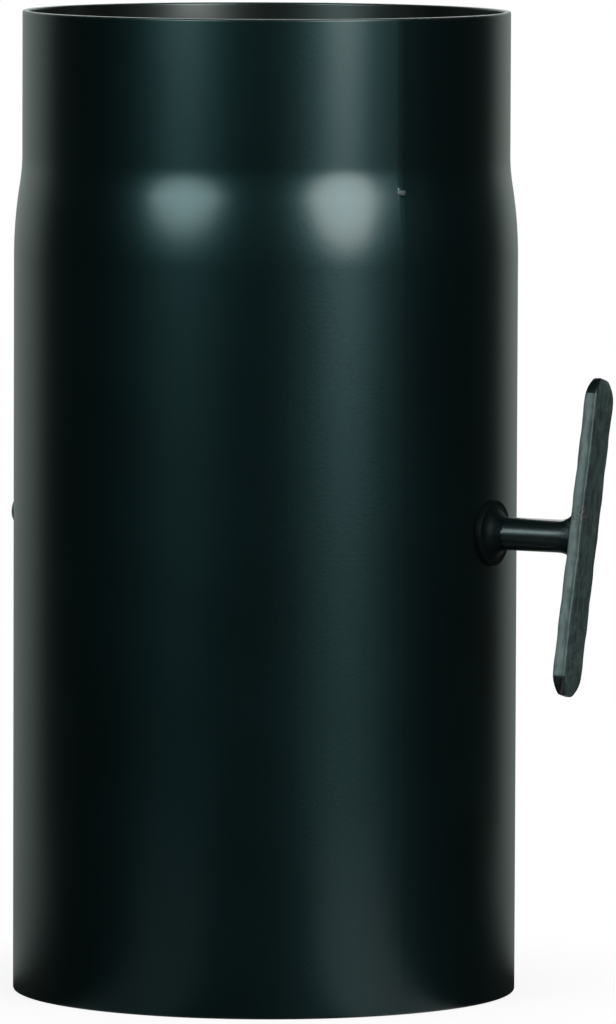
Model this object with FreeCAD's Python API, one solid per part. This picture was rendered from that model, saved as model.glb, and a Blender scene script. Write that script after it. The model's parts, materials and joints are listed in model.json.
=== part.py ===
import FreeCAD, Part
import math
import os

from FreeCAD import Vector

# Stove pipe damper, in millimetres.
# The origin is on the pipe's axis, in the plane of its lower end. +Z runs up to the reduced neck,
# and the spindle lies along X with its handle at +X.

# Pipe
PIPE_LENGTH = 300.0
PIPE_BORE = 150.0
SHEET = 2.0
SOCKET_GROWTH = 0.2
SOCKET_LENGTH = 50.0
SOCKET_BLEND = 10.0
NECK_REDUCTION = 2.5
NECK_LENGTH = 48.0
SHOULDER_HEIGHT = 26.0
WELD_AZIMUTH = -29.0

# Spindle
SPINDLE_DIAMETER = 10.0
SPINDLE_HEIGHT = 143.5
SPINDLE_CLEARANCE = 0.08
SPINDLE_FLAT_DEPTH = 0.5
SPINDLE_FLAT_MARGIN = 0.5
SPINDLE_CHAMFER = 1.0

# Handle, with its top leaning towards +Y
HANDLE_LEAN = 14.0
HANDLE_REACH = 30.0
BAR_LENGTH = 97.0
BAR_WIDTH = 12.0
BAR_THICKNESS = 4.0
BAR_EDGE = 0.9
BAR_TAPER = 6.5
BAR_TIP_WIDTH = 6.0
BAR_TIP_THICKNESS = 1.8
HANDLE_WELD_LEG = 3.0

# Washers and pin that keep the spindle in the pipe
WASHER_DIAMETER = 20.0
WASHER_THICKNESS = 2.0
WASHER_CLEARANCE = 0.05
THRUST_WELD_LEG = 3.2
WALL_GAP = 0.3
STACK_GAP = 0.05
SPRING_DIAMETER = 18.0
SPRING_HEIGHT = 2.0
SPRING_THICKNESS = 0.8
PIN_DIAMETER = 2.4
PIN_CLEARANCE = 0.1
PIN_END_DISTANCE = 4.6
PIN_LEG = 4.0
PIN_SPREAD = 50.0
PIN_EYE_DIAMETER = 5.0
PIN_EYE_HOLE = 2.4

# Damper plate
PLATE_GAP = 2.0
PLATE_THICKNESS = 2.0
NOTCH_WIDTH = 28.0
NOTCH_DEPTH = 22.0

# Saddles that clamp the plate to the spindle
SADDLE_SPACING = 76.0
SADDLE_WIDTH = 16.0
SADDLE_SHEET = 2.0
SADDLE_CLEARANCE = 0.05
SADDLE_EDGE_DISTANCE = 7.0

# Clamp screws, their nuts and the thinner nuts that lock them
SCREW_DIAMETER = 5.0
SCREW_LENGTH = 12.0
SCREW_HOLE_CLEARANCE = 0.25
SCREW_HEAD_FLATS = 8.0
SCREW_HEAD_HEIGHT = 3.5
HEAD_MARGIN = 2.5
NUT_HEIGHT = 4.0
LOCK_NUT_HEIGHT = 2.7
NUT_CLEARANCE = 0.05

# Worked out from the sizes above
BORE_R = PIPE_BORE / 2
PIPE_R = BORE_R + SHEET
NECK_R = PIPE_R - NECK_REDUCTION
SOCKET_R = BORE_R + SOCKET_GROWTH
CREASE_Z = PIPE_LENGTH - NECK_LENGTH
SHOULDER_Z = CREASE_Z - SHOULDER_HEIGHT
SPINDLE_R = SPINDLE_DIAMETER / 2
FLAT_Y = SPINDLE_R - SPINDLE_FLAT_DEPTH
PLATE_R = BORE_R - PLATE_GAP
PLATE_BACK_Y = FLAT_Y + PLATE_THICKNESS
BAR_X = PIPE_R + HANDLE_REACH
THRUST_X = PIPE_R + WALL_GAP
SPRING_X = -PIPE_R - WALL_GAP
END_WASHER_X = SPRING_X - SPRING_HEIGHT - STACK_GAP
PIN_X = END_WASHER_X - WASHER_THICKNESS - STACK_GAP - PIN_DIAMETER / 2
SPINDLE_END_X = PIN_X - PIN_END_DISTANCE
SADDLE_IN_R = SPINDLE_R + SADDLE_CLEARANCE
SADDLE_OUT_R = SADDLE_IN_R + SADDLE_SHEET
SADDLE_TOP_Y = FLAT_Y - SADDLE_SHEET
HEX_CORNER_R = SCREW_HEAD_FLATS / math.sqrt(3)
SCREW_Z = SADDLE_OUT_R + HEX_CORNER_R + HEAD_MARGIN
SADDLE_END_Z = SCREW_Z + SADDLE_EDGE_DISTANCE

SPINDLE_CENTRE = Vector(0, 0, SPINDLE_HEIGHT)
ALONG_SPINDLE = Vector(1, 0, 0)
ACROSS_PLATE = Vector(0, 1, 0)


def line(start, end):
    """Straight edge between two points."""
    return Part.LineSegment(start, end).toShape()


def polyline(points):
    """Straight edges that join the points in turn."""
    return [line(start, end) for start, end in zip(points, points[1:])]


def face_of(edges):
    """Flat face inside a closed run of edges."""
    return Part.Face(Part.Wire(Part.__sortEdges__(edges)))


def polygon(corners):
    """Flat face with straight sides."""
    return Part.Face(Part.Wire(polyline(corners + corners[:1])))


def about_spindle(radius, angle):
    """Point of a circle round the spindle's line, at x = 0, with the angle measured from +Y to +Z."""
    return Vector(0, radius * math.cos(angle), radius * math.sin(angle))


def rod(radius, x_from, x_to):
    """Round bar on the spindle's line."""
    return Part.makeCylinder(radius, x_to - x_from, Vector(x_from, 0, 0), ALONG_SPINDLE)


def ring(inner_r, outer_r, x_from, x_to):
    """Flat ring round the spindle's line."""
    return rod(outer_r, x_from, x_to).cut(rod(inner_r, x_from, x_to))


def shoulder_arc(wall_r):
    """Arc that leaves the pipe's wall at a tangent and meets the neck at the crease."""
    radius = (SHOULDER_HEIGHT ** 2 + NECK_REDUCTION ** 2) / (2 * NECK_REDUCTION)
    half_turn = math.asin(SHOULDER_HEIGHT / radius) / 2
    middle_r = wall_r - radius * (1 - math.cos(half_turn))
    middle_z = SHOULDER_Z + radius * math.sin(half_turn)
    start = Vector(wall_r, 0, SHOULDER_Z)
    end = Vector(wall_r - NECK_REDUCTION, 0, CREASE_Z)
    return Part.Arc(start, Vector(middle_r, 0, middle_z), end).toShape()


def make_pipe():
    """Rolled pipe with a sized socket and a reduced neck, and two holes for the spindle."""
    wall_line = [
        (BORE_R, SHOULDER_Z),
        (BORE_R, SOCKET_LENGTH + SOCKET_BLEND),
        (SOCKET_R, SOCKET_LENGTH),
        (SOCKET_R, 0),
        (PIPE_R, 0),
        (PIPE_R, SHOULDER_Z),
    ]
    neck_line = [
        (NECK_R, CREASE_Z),
        (NECK_R, PIPE_LENGTH),
        (NECK_R - SHEET, PIPE_LENGTH),
        (NECK_R - SHEET, CREASE_Z),
    ]
    edges = [shoulder_arc(PIPE_R), shoulder_arc(BORE_R)]
    for part in (wall_line, neck_line):
        edges += polyline([Vector(r, 0, z) for r, z in part])
    wall = face_of(edges).revolve(Vector(0, 0, 0), Vector(0, 0, 1), 360)
    wall.rotate(Vector(0, 0, 0), Vector(0, 0, 1), WELD_AZIMUTH)
    drill = rod(SPINDLE_R + SPINDLE_CLEARANCE, -2 * PIPE_R, 2 * PIPE_R)
    drill.translate(SPINDLE_CENTRE)
    return wall.cut(drill)


def make_spindle():
    """Round bar with a flat for the plate, a hole for the split pin and a chamfered far end."""
    bar = rod(SPINDLE_R, SPINDLE_END_X, BAR_X)
    far_edge = [edge for edge in bar.Edges if edge.BoundBox.XMax < SPINDLE_END_X + SPINDLE_CHAMFER]
    bar = bar.makeChamfer(SPINDLE_CHAMFER, far_edge)
    flat_half = PLATE_R + SPINDLE_FLAT_MARGIN
    corner = Vector(-flat_half, FLAT_Y, -SPINDLE_R)
    bar = bar.cut(Part.makeBox(2 * flat_half, SPINDLE_DIAMETER, SPINDLE_DIAMETER, corner))
    pin_hole_r = PIN_DIAMETER / 2 + PIN_CLEARANCE
    pin_hole = Part.makeCylinder(pin_hole_r, 2 * SPINDLE_DIAMETER, Vector(PIN_X, 0, -SPINDLE_DIAMETER))
    return bar.cut(pin_hole)


def bar_section(z, width, thickness):
    """Corners of the flat bar at one height: a rectangle with bevelled corners."""
    bevel = BAR_EDGE * min(width / BAR_WIDTH, thickness / BAR_THICKNESS)
    half_x = thickness / 2
    half_y = width / 2
    corners = []
    for sign_x, sign_y in ((1, 1), (-1, 1), (-1, -1), (1, -1)):
        on_side = Vector(sign_x * half_x, sign_y * (half_y - bevel), z)
        on_edge = Vector(sign_x * (half_x - bevel), sign_y * half_y, z)
        corners += [on_side, on_edge] if sign_x == sign_y else [on_edge, on_side]
    return corners


def make_handle_bar():
    """Flat bar across the spindle's end, with all its edges bevelled and both ends tapered."""
    half = BAR_LENGTH / 2
    body = half - BAR_TAPER
    sections = [
        bar_section(-half, BAR_TIP_WIDTH, BAR_TIP_THICKNESS),
        bar_section(-body, BAR_WIDTH, BAR_THICKNESS),
        bar_section(body, BAR_WIDTH, BAR_THICKNESS),
        bar_section(half, BAR_TIP_WIDTH, BAR_TIP_THICKNESS),
    ]
    faces = [polygon(sections[0]), polygon(sections[-1])]
    for lower, upper in zip(sections, sections[1:]):
        for near in range(len(lower)):
            far = near - 1
            faces.append(polygon([lower[far], lower[near], upper[near], upper[far]]))
    bar = Part.Solid(Part.Shell(faces))
    bar.translate(Vector(BAR_X + BAR_THICKNESS / 2, 0, 0))
    return bar


def weld_bead(face_x, leg, direction):
    """Fillet weld between the spindle and a face across it, on one side of that face."""
    root = Vector(face_x, SPINDLE_R, 0)
    section = [root, root + Vector(direction * leg, 0, 0), root + Vector(0, leg, 0)]
    return polygon(section).revolve(Vector(0, 0, 0), ALONG_SPINDLE, 360)


def make_handle_weld():
    """Weld between the spindle and the bar, no wider than the bar's flat."""
    bead = weld_bead(BAR_X, HANDLE_WELD_LEG, -1)
    flat_width = BAR_WIDTH - 2 * BAR_EDGE
    reach = 2 * (SPINDLE_R + HANDLE_WELD_LEG)
    corner = Vector(BAR_X - reach, -flat_width / 2, -reach / 2)
    return bead.common(Part.makeBox(reach, flat_width, reach, corner))


def make_thrust_washer():
    """Washer that bears on the outside of the pipe."""
    return ring(SPINDLE_R + WASHER_CLEARANCE, WASHER_DIAMETER / 2, THRUST_X, THRUST_X + WASHER_THICKNESS)


def make_thrust_weld():
    """Weld that holds the thrust washer on the spindle."""
    return weld_bead(THRUST_X + WASHER_THICKNESS, THRUST_WELD_LEG, 1)


def make_end_washer():
    """Washer on the spindle's far end, outside the spring washer."""
    washer_r = WASHER_DIAMETER / 2
    return ring(SPINDLE_R + WASHER_CLEARANCE, washer_r, END_WASHER_X - WASHER_THICKNESS, END_WASHER_X)


def make_spring_washer():
    """Bowed spring washer between the pipe and the end washer: a ring cut from a bent strip."""
    outer_r = SPRING_DIAMETER / 2
    rise = SPRING_HEIGHT - SPRING_THICKNESS
    bow_r = (outer_r ** 2 + rise ** 2) / (2 * rise)
    bow_centre = Vector(SPRING_X - bow_r, -outer_r, 0)
    strip = Part.makeCylinder(bow_r, 2 * outer_r, bow_centre, ACROSS_PLATE)
    strip = strip.cut(Part.makeCylinder(bow_r - SPRING_THICKNESS, 2 * outer_r, bow_centre, ACROSS_PLATE))
    inner_r = SPINDLE_R + 2 * WASHER_CLEARANCE
    return ring(inner_r, outer_r, SPRING_X - SPRING_HEIGHT, SPRING_X).common(strip)


def half_round(side):
    """Half-round section of one leg of the split pin, in the plane z = 0."""
    pin_r = PIN_DIAMETER / 2
    left = Vector(PIN_X - pin_r, 0, 0)
    right = Vector(PIN_X + pin_r, 0, 0)
    return face_of([line(left, right), Part.Arc(right, Vector(PIN_X, side * pin_r, 0), left).toShape()])


def pin_leg(side):
    """Leg of the split pin: straight through the spindle, then turned away from the other leg."""
    section = half_round(side)
    section.translate(Vector(0, 0, -SPINDLE_R - STACK_GAP))
    straight = section.extrude(Vector(0, 0, SPINDLE_DIAMETER + STACK_GAP + PIN_EYE_DIAMETER / 2))
    turn = math.radians(PIN_SPREAD)
    return straight.fuse(section.extrude(Vector(0, side * math.tan(turn), -1) * PIN_LEG))


def make_split_pin():
    """Split pin through the spindle: two half-round legs under a round eye."""
    pin_r = PIN_DIAMETER / 2
    eye_r = PIN_EYE_DIAMETER / 2
    eye_base = Vector(PIN_X - pin_r, 0, SPINDLE_R + STACK_GAP + eye_r)
    eye = Part.makeCylinder(eye_r, PIN_DIAMETER, eye_base, ALONG_SPINDLE)
    eye_hole = Part.makeCylinder(PIN_EYE_HOLE / 2, PIN_DIAMETER, eye_base, ALONG_SPINDLE)
    return eye.fuse([pin_leg(1), pin_leg(-1)]).cut(eye_hole).removeSplitter()


def screw_spots():
    """Places of the clamp screws: one on each foot of each saddle."""
    return [(side * SADDLE_SPACING / 2, foot * SCREW_Z) for side in (-1, 1) for foot in (-1, 1)]


def screw_hole(spot):
    """Cylinder that cuts one screw's hole through a saddle's foot and the plate."""
    hole_r = SCREW_DIAMETER / 2 + SCREW_HOLE_CLEARANCE
    depth = SADDLE_SHEET + PLATE_THICKNESS
    return Part.makeCylinder(hole_r, depth, Vector(spot[0], SADDLE_TOP_Y, spot[1]), ACROSS_PLATE)


def make_plate():
    """Round plate on the spindle's flat, with a draught notch at its top and the screw holes."""
    plate = Part.makeCylinder(PLATE_R, PLATE_THICKNESS, Vector(0, FLAT_Y, 0), ACROSS_PLATE)
    notch_r = NOTCH_WIDTH / 2
    notch_z = PLATE_R - NOTCH_DEPTH + notch_r
    round_end = Part.makeCylinder(notch_r, PLATE_THICKNESS, Vector(0, FLAT_Y, notch_z), ACROSS_PLATE)
    corner = Vector(-notch_r, FLAT_Y, notch_z)
    sides = Part.makeBox(NOTCH_WIDTH, PLATE_THICKNESS, NOTCH_DEPTH, corner)
    return plate.cut([round_end, sides] + [screw_hole(spot) for spot in screw_spots()])


def saddle_half(side):
    """Half of the bent strap's section: over the spindle, down its side and out along the plate."""
    def at(y, z):
        return Vector(0, y, side * z)

    quarter = 3 * math.pi / 4
    slant = math.sqrt(0.5)
    in_mid = about_spindle(SADDLE_IN_R, quarter)
    out_mid = about_spindle(SADDLE_OUT_R, quarter)
    edges = [
        Part.Arc(at(-SADDLE_IN_R, 0), at(in_mid.y, in_mid.z), at(0, SADDLE_IN_R)).toShape(),
        line(at(0, SADDLE_IN_R), at(SADDLE_TOP_Y, SADDLE_IN_R)),
        Part.Arc(
            at(SADDLE_TOP_Y, SADDLE_IN_R),
            at(SADDLE_TOP_Y + SADDLE_SHEET * slant, SADDLE_OUT_R - SADDLE_SHEET * slant),
            at(FLAT_Y, SADDLE_OUT_R),
        ).toShape(),
        line(at(FLAT_Y, SADDLE_OUT_R), at(FLAT_Y, SADDLE_END_Z)),
        line(at(FLAT_Y, SADDLE_END_Z), at(SADDLE_TOP_Y, SADDLE_END_Z)),
        line(at(SADDLE_TOP_Y, SADDLE_END_Z), at(SADDLE_TOP_Y, SADDLE_OUT_R)),
        line(at(SADDLE_TOP_Y, SADDLE_OUT_R), at(0, SADDLE_OUT_R)),
        Part.Arc(at(0, SADDLE_OUT_R), at(out_mid.y, out_mid.z), at(-SADDLE_OUT_R, 0)).toShape(),
        line(at(-SADDLE_OUT_R, 0), at(-SADDLE_IN_R, 0)),
    ]
    return face_of(edges).extrude(Vector(SADDLE_WIDTH, 0, 0))


def make_saddle(side):
    """Strap that holds the spindle against the plate, with a screw hole in each foot."""
    strap = saddle_half(1).fuse(saddle_half(-1)).removeSplitter()
    strap.translate(Vector(side * SADDLE_SPACING / 2 - SADDLE_WIDTH / 2, 0, 0))
    return strap.cut([screw_hole(spot) for spot in screw_spots() if spot[0] * side > 0])


def hexagon(spot, y_from, height):
    """Six-sided block on a screw's line."""
    corners = []
    for step in range(6):
        corner = about_spindle(HEX_CORNER_R, math.radians(60 * step))
        corners.append(Vector(spot[0] + corner.y, y_from, spot[1] + corner.z))
    return polygon(corners).extrude(Vector(0, height, 0))


def on_screw(radius, spot, y_from, height):
    """Cylinder on a screw's line."""
    return Part.makeCylinder(radius, height, Vector(spot[0], y_from, spot[1]), ACROSS_PLATE)


def make_screw(spot):
    """Hexagon-head screw, its head on the saddle's foot."""
    head = hexagon(spot, SADDLE_TOP_Y - SCREW_HEAD_HEIGHT, SCREW_HEAD_HEIGHT)
    return head.fuse(on_screw(SCREW_DIAMETER / 2, spot, SADDLE_TOP_Y, SCREW_LENGTH))


def make_nut(spot, seat_y, height):
    """Hexagon nut with its inner face at one place along the screw."""
    bore_r = SCREW_DIAMETER / 2 + NUT_CLEARANCE
    return hexagon(spot, seat_y, height).cut(on_screw(bore_r, spot, seat_y, height))


def turning_pieces():
    """All pieces that turn with the handle, made with the bar upright on the spindle's line."""
    pieces = {
        "spindle": make_spindle(),
        "handle_bar": make_handle_bar(),
        "handle_weld": make_handle_weld(),
        "thrust_washer": make_thrust_washer(),
        "thrust_weld": make_thrust_weld(),
        "spring_washer": make_spring_washer(),
        "end_washer": make_end_washer(),
        "split_pin": make_split_pin(),
        "damper_plate": make_plate(),
        "far_saddle": make_saddle(-1),
        "near_saddle": make_saddle(1),
    }
    for number, spot in enumerate(screw_spots(), start=1):
        pieces[f"clamp_screw_{number}"] = make_screw(spot)
        pieces[f"clamp_nut_{number}"] = make_nut(spot, PLATE_BACK_Y, NUT_HEIGHT)
        pieces[f"lock_nut_{number}"] = make_nut(spot, PLATE_BACK_Y + NUT_HEIGHT, LOCK_NUT_HEIGHT)
    return pieces


def main():
    """Make every piece, lean the handle to its rest and write one file for each piece."""
    pieces = {"pipe": make_pipe()}
    for name, shape in turning_pieces().items():
        shape.rotate(Vector(0, 0, 0), ALONG_SPINDLE, -HANDLE_LEAN)
        shape.translate(SPINDLE_CENTRE)
        pieces[name] = shape
    os.makedirs("parts", exist_ok=True)
    for name, shape in pieces.items():
        shape.exportStep(f"parts/{name}.step")
        print(f"{name}: {len(shape.Solids)} solid, {shape.Volume / 1000:.2f} cm3, valid {shape.isValid()}")


main()
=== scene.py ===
"""Finished look of a stove pipe damper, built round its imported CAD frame.

Sizes are in millimetres and angles in degrees, unless a name says otherwise. Meshes are scaled to metres
when their patches are sewn. The turning pieces are worked out with the handle upright on a level spindle
line, and the spindle line then leans and lifts them to where they rest.
"""

import json
import logging
import math
from collections.abc import Mapping, Sequence
from dataclasses import dataclass, replace
from enum import Enum
from typing import Union

import bmesh
import bpy
import numpy as np
from mathutils import Matrix, Vector

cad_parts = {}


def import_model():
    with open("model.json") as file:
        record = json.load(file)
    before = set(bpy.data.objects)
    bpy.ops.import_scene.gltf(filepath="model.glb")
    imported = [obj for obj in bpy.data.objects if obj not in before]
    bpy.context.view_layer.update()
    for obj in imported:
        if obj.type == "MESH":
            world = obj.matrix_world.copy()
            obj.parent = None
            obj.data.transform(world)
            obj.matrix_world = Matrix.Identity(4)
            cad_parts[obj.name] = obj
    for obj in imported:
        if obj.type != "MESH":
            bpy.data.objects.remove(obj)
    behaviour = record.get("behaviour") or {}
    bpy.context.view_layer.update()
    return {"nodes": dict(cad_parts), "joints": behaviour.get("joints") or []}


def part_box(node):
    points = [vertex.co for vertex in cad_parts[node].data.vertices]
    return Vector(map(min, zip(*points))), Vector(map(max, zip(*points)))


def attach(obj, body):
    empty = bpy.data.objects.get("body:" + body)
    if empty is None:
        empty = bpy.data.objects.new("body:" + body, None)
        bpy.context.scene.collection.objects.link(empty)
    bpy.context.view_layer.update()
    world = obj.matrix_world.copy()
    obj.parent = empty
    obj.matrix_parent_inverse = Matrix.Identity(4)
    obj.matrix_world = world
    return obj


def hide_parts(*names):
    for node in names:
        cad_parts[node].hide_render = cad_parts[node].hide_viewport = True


LOG = logging.getLogger("stove_pipe_damper")
METRES = 0.001
IMAGE_HEIGHT = 1024
# Points that are no further apart than this, in metres, are sewn together.
SEWN_WITHIN = 1e-6
# Decimals to which rows or columns have to agree to become one.
SAME_DECIMALS = 6
# Least cosine that a length is divided by.
LEAST_COSINE = 1e-6
# Columns round the rod, the rings and the floor.
RING_COLUMNS = 96
# Sockets of the Mix node that take and give colours.
MIX_SHARE, MIX_FIRST, MIX_SECOND, MIX_RESULT = 0, 6, 7, 2
# Middle of a noise value.
NOISE_MIDDLE = 0.5
# Share of the pipe's height that the lamps face.
LAMP_AIM = 0.8

Colour = tuple[float, float, float]
Place = tuple[float, float, float]
Pair = tuple[float, float]
Wave = tuple[float, float, float]
Setting = Union["Term", float, Sequence[float]]


class Body(Enum):
    """Bodies of the frame that pieces ride on."""

    PIPE = "pipe_body"
    DAMPER = "damper"


class Slot(Enum):
    """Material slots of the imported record."""

    PIPE_PAINT = "pipe_paint"
    HANDLE_PAINT = "handle_paint"
    PLATE_STEEL = "plate_steel"
    ZINC_STEEL = "zinc_steel"


class Reach(Enum):
    """Rays that a lamp shows to."""

    ALL = "gloss and matt surfaces"
    MATT = "matt surfaces alone"


@dataclass
class Patch:
    """Grid of points that becomes quads, with its last column joined to its first.

    Attributes:
        points: rows by columns by three coordinates.
        keep: which cells become faces, or None for all of them.
        slot: number of the material on the mesh.
    """

    points: np.ndarray
    keep: np.ndarray | None = None
    slot: int = 0

    def quads(self) -> np.ndarray:
        """Number the corners of each kept cell.

        Returns:
            Four point numbers for each face.
        """
        rows, columns = self.points.shape[:2]
        numbers = np.arange(rows * columns).reshape(rows, columns)
        numbers = np.concatenate([numbers, numbers[:, :1]], axis=1)
        corners = [numbers[:-1, :-1], numbers[:-1, 1:], numbers[1:, 1:], numbers[1:, :-1]]
        cells = np.stack(corners, axis=-1)
        return cells.reshape(-1, 4) if self.keep is None else cells[self.keep]


def sew(
    name: str, patches: Sequence[Patch], materials: Sequence[bpy.types.Material], crease: float = 35.0
) -> bpy.types.Object:
    """Join patches into one closed mesh with its faces outwards.

    Points of different patches that meet become one, and cells that close to a point at a pole become
    triangles.

    Args:
        name: name of the new object.
        patches: grids that meet along their borders.
        materials: materials, in the order of the patches' slots.
        crease: angle above which an edge between two faces stays sharp.

    Returns:
        The object, linked to the scene.
    """
    counts = [patch.points.shape[0] * patch.points.shape[1] for patch in patches]
    starts = np.cumsum([0] + counts[:-1])
    points = np.concatenate([patch.points.reshape(-1, 3) for patch in patches]) * METRES
    quads = np.concatenate([patch.quads() + start for patch, start in zip(patches, starts)])
    slots = np.concatenate([np.full(len(patch.quads()), patch.slot) for patch in patches])
    mesh = bpy.data.meshes.new(name)
    mesh.vertices.add(len(points))
    mesh.vertices.foreach_set("co", points.astype(np.float32).ravel())
    mesh.loops.add(quads.size)
    mesh.loops.foreach_set("vertex_index", quads.astype(np.int32).ravel())
    mesh.polygons.add(len(quads))
    mesh.polygons.foreach_set("loop_start", np.arange(0, quads.size, 4, dtype=np.int32))
    mesh.polygons.foreach_set("material_index", slots.astype(np.int32))
    mesh.update(calc_edges=True)
    sewing = bmesh.new()
    sewing.from_mesh(mesh)
    bmesh.ops.remove_doubles(sewing, verts=sewing.verts, dist=SEWN_WITHIN)
    bmesh.ops.recalc_face_normals(sewing, faces=sewing.faces)
    sewing.to_mesh(mesh)
    sewing.free()
    mesh.polygons.foreach_set("use_smooth", np.ones(len(mesh.polygons), dtype=bool))
    mesh.set_sharp_from_angle(angle=math.radians(crease))
    for material in materials:
        mesh.materials.append(material)
    piece = bpy.data.objects.new(name, mesh)
    bpy.context.scene.collection.objects.link(piece)
    return piece


def scaled(values: Sequence[float], level: float) -> tuple[float, ...]:
    """Each of some values times a level."""
    return tuple(level * value for value in values)


def merged(*stops: np.ndarray) -> np.ndarray:
    """Values of several lists in order, each of them once."""
    return np.unique(np.round(np.concatenate(stops), SAME_DECIMALS))


def turn_angles(steps: int) -> np.ndarray:
    """Equal steps of a full turn, in radians."""
    return np.linspace(0.0, 2 * math.pi, steps, endpoint=False)


def quarter_turn(steps: int) -> np.ndarray:
    """Equal steps of a quarter turn with both of its ends, in radians."""
    return np.linspace(0.0, math.pi / 2, steps + 1)


def sum_of_sines(way: np.ndarray, waves: Sequence[Wave]) -> np.ndarray:
    """Sum of the sines of a way, each with its height, its rate and its phase in radians."""
    return sum(height * np.sin(rate * way + phase) for height, rate, phase in waves)


def grid_of(*axes: np.ndarray) -> np.ndarray:
    """Points from three coordinates that are rows, columns or whole grids."""
    return np.stack(np.broadcast_arrays(*axes), axis=-1)


def upright_grid(radius: np.ndarray, azimuth: np.ndarray, height: np.ndarray) -> np.ndarray:
    """Points about the vertical axis, from radius, azimuth in radians and height."""
    return grid_of(radius * np.cos(azimuth), radius * np.sin(azimuth), height)


def rows_of(rows: Sequence[float | np.ndarray], columns: int) -> np.ndarray:
    """Stack rows into a grid, where a single number fills its row."""
    return np.stack([np.broadcast_to(row, columns) for row in rows])


def rounded_box(
    half_x: np.ndarray, half_y: np.ndarray, radius: np.ndarray, corner_steps: int
) -> tuple[np.ndarray, np.ndarray]:
    """Outline of rectangles with round corners.

    Each corner is a quarter circle whose centre stands one radius inside both sides.

    Args:
        half_x: half of each rectangle's first side, as a column.
        half_y: half of its second side, as a column.
        radius: corner radius, as one column or as four, from the corner of both plus sides onwards.
        corner_steps: steps in one corner.

    Returns:
        The two coordinates, one row for each rectangle.
    """
    quarter = quarter_turn(corner_steps)
    angles = np.concatenate([quarter + math.pi / 2 * side for side in range(4)])
    side_x = np.repeat([1.0, -1.0, -1.0, 1.0], corner_steps + 1)
    side_y = np.repeat([1.0, 1.0, -1.0, -1.0], corner_steps + 1)
    radius = np.repeat(np.broadcast_to(radius, (len(half_x), 4)), corner_steps + 1, axis=1)
    across = side_x * (half_x - radius) + radius * np.cos(angles)
    along = side_y * (half_y - radius) + radius * np.sin(angles)
    return across, along


def heading(azimuth: float, elevation: float = 0.0) -> Vector:
    """Direction from the object.

    Args:
        azimuth: angle from -Y towards +X.
        elevation: angle above the level.

    Returns:
        The direction, of length one.
    """
    turn = math.radians(azimuth)
    rise = math.radians(elevation)
    level = math.cos(rise)
    return Vector((math.sin(turn) * level, -math.cos(turn) * level, math.sin(rise)))


class Term:
    """Output of a shader node, with arithmetic that adds Math nodes to its graph."""

    def __init__(self, graph: "Graph", socket: bpy.types.NodeSocket) -> None:
        """Wrap one output socket of a graph."""
        self.graph = graph
        self.socket = socket

    def _math(self, operation: str, first: Setting, second: Setting = 0.0) -> "Term":
        """Add a Math node on two values."""
        return self.graph.term("ShaderNodeMath", {"operation": operation}, {0: first, 1: second})

    def __add__(self, other: Setting) -> "Term":
        """Sum."""
        return self._math("ADD", self, other)

    def __radd__(self, other: Setting) -> "Term":
        """Sum with a number on the left."""
        return self._math("ADD", other, self)

    def __sub__(self, other: Setting) -> "Term":
        """Difference."""
        return self._math("SUBTRACT", self, other)

    def __rsub__(self, other: Setting) -> "Term":
        """Difference with a number on the left."""
        return self._math("SUBTRACT", other, self)

    def __mul__(self, other: Setting) -> "Term":
        """Product."""
        return self._math("MULTIPLY", self, other)

    def __rmul__(self, other: Setting) -> "Term":
        """Product with a number on the left."""
        return self._math("MULTIPLY", other, self)

    def __abs__(self) -> "Term":
        """Size without the sign."""
        return self._math("ABSOLUTE", self)

    def blend(self, other: "Term", share: float) -> "Term":
        """Weighted mean of this term and another one, with the share of this one."""
        return self * share + other * (1.0 - share)

    def between(self, low: float, high: float) -> "Term":
        """Value that is low where this term is 0 and high where it is 1."""
        return low + (high - low) * self


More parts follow.
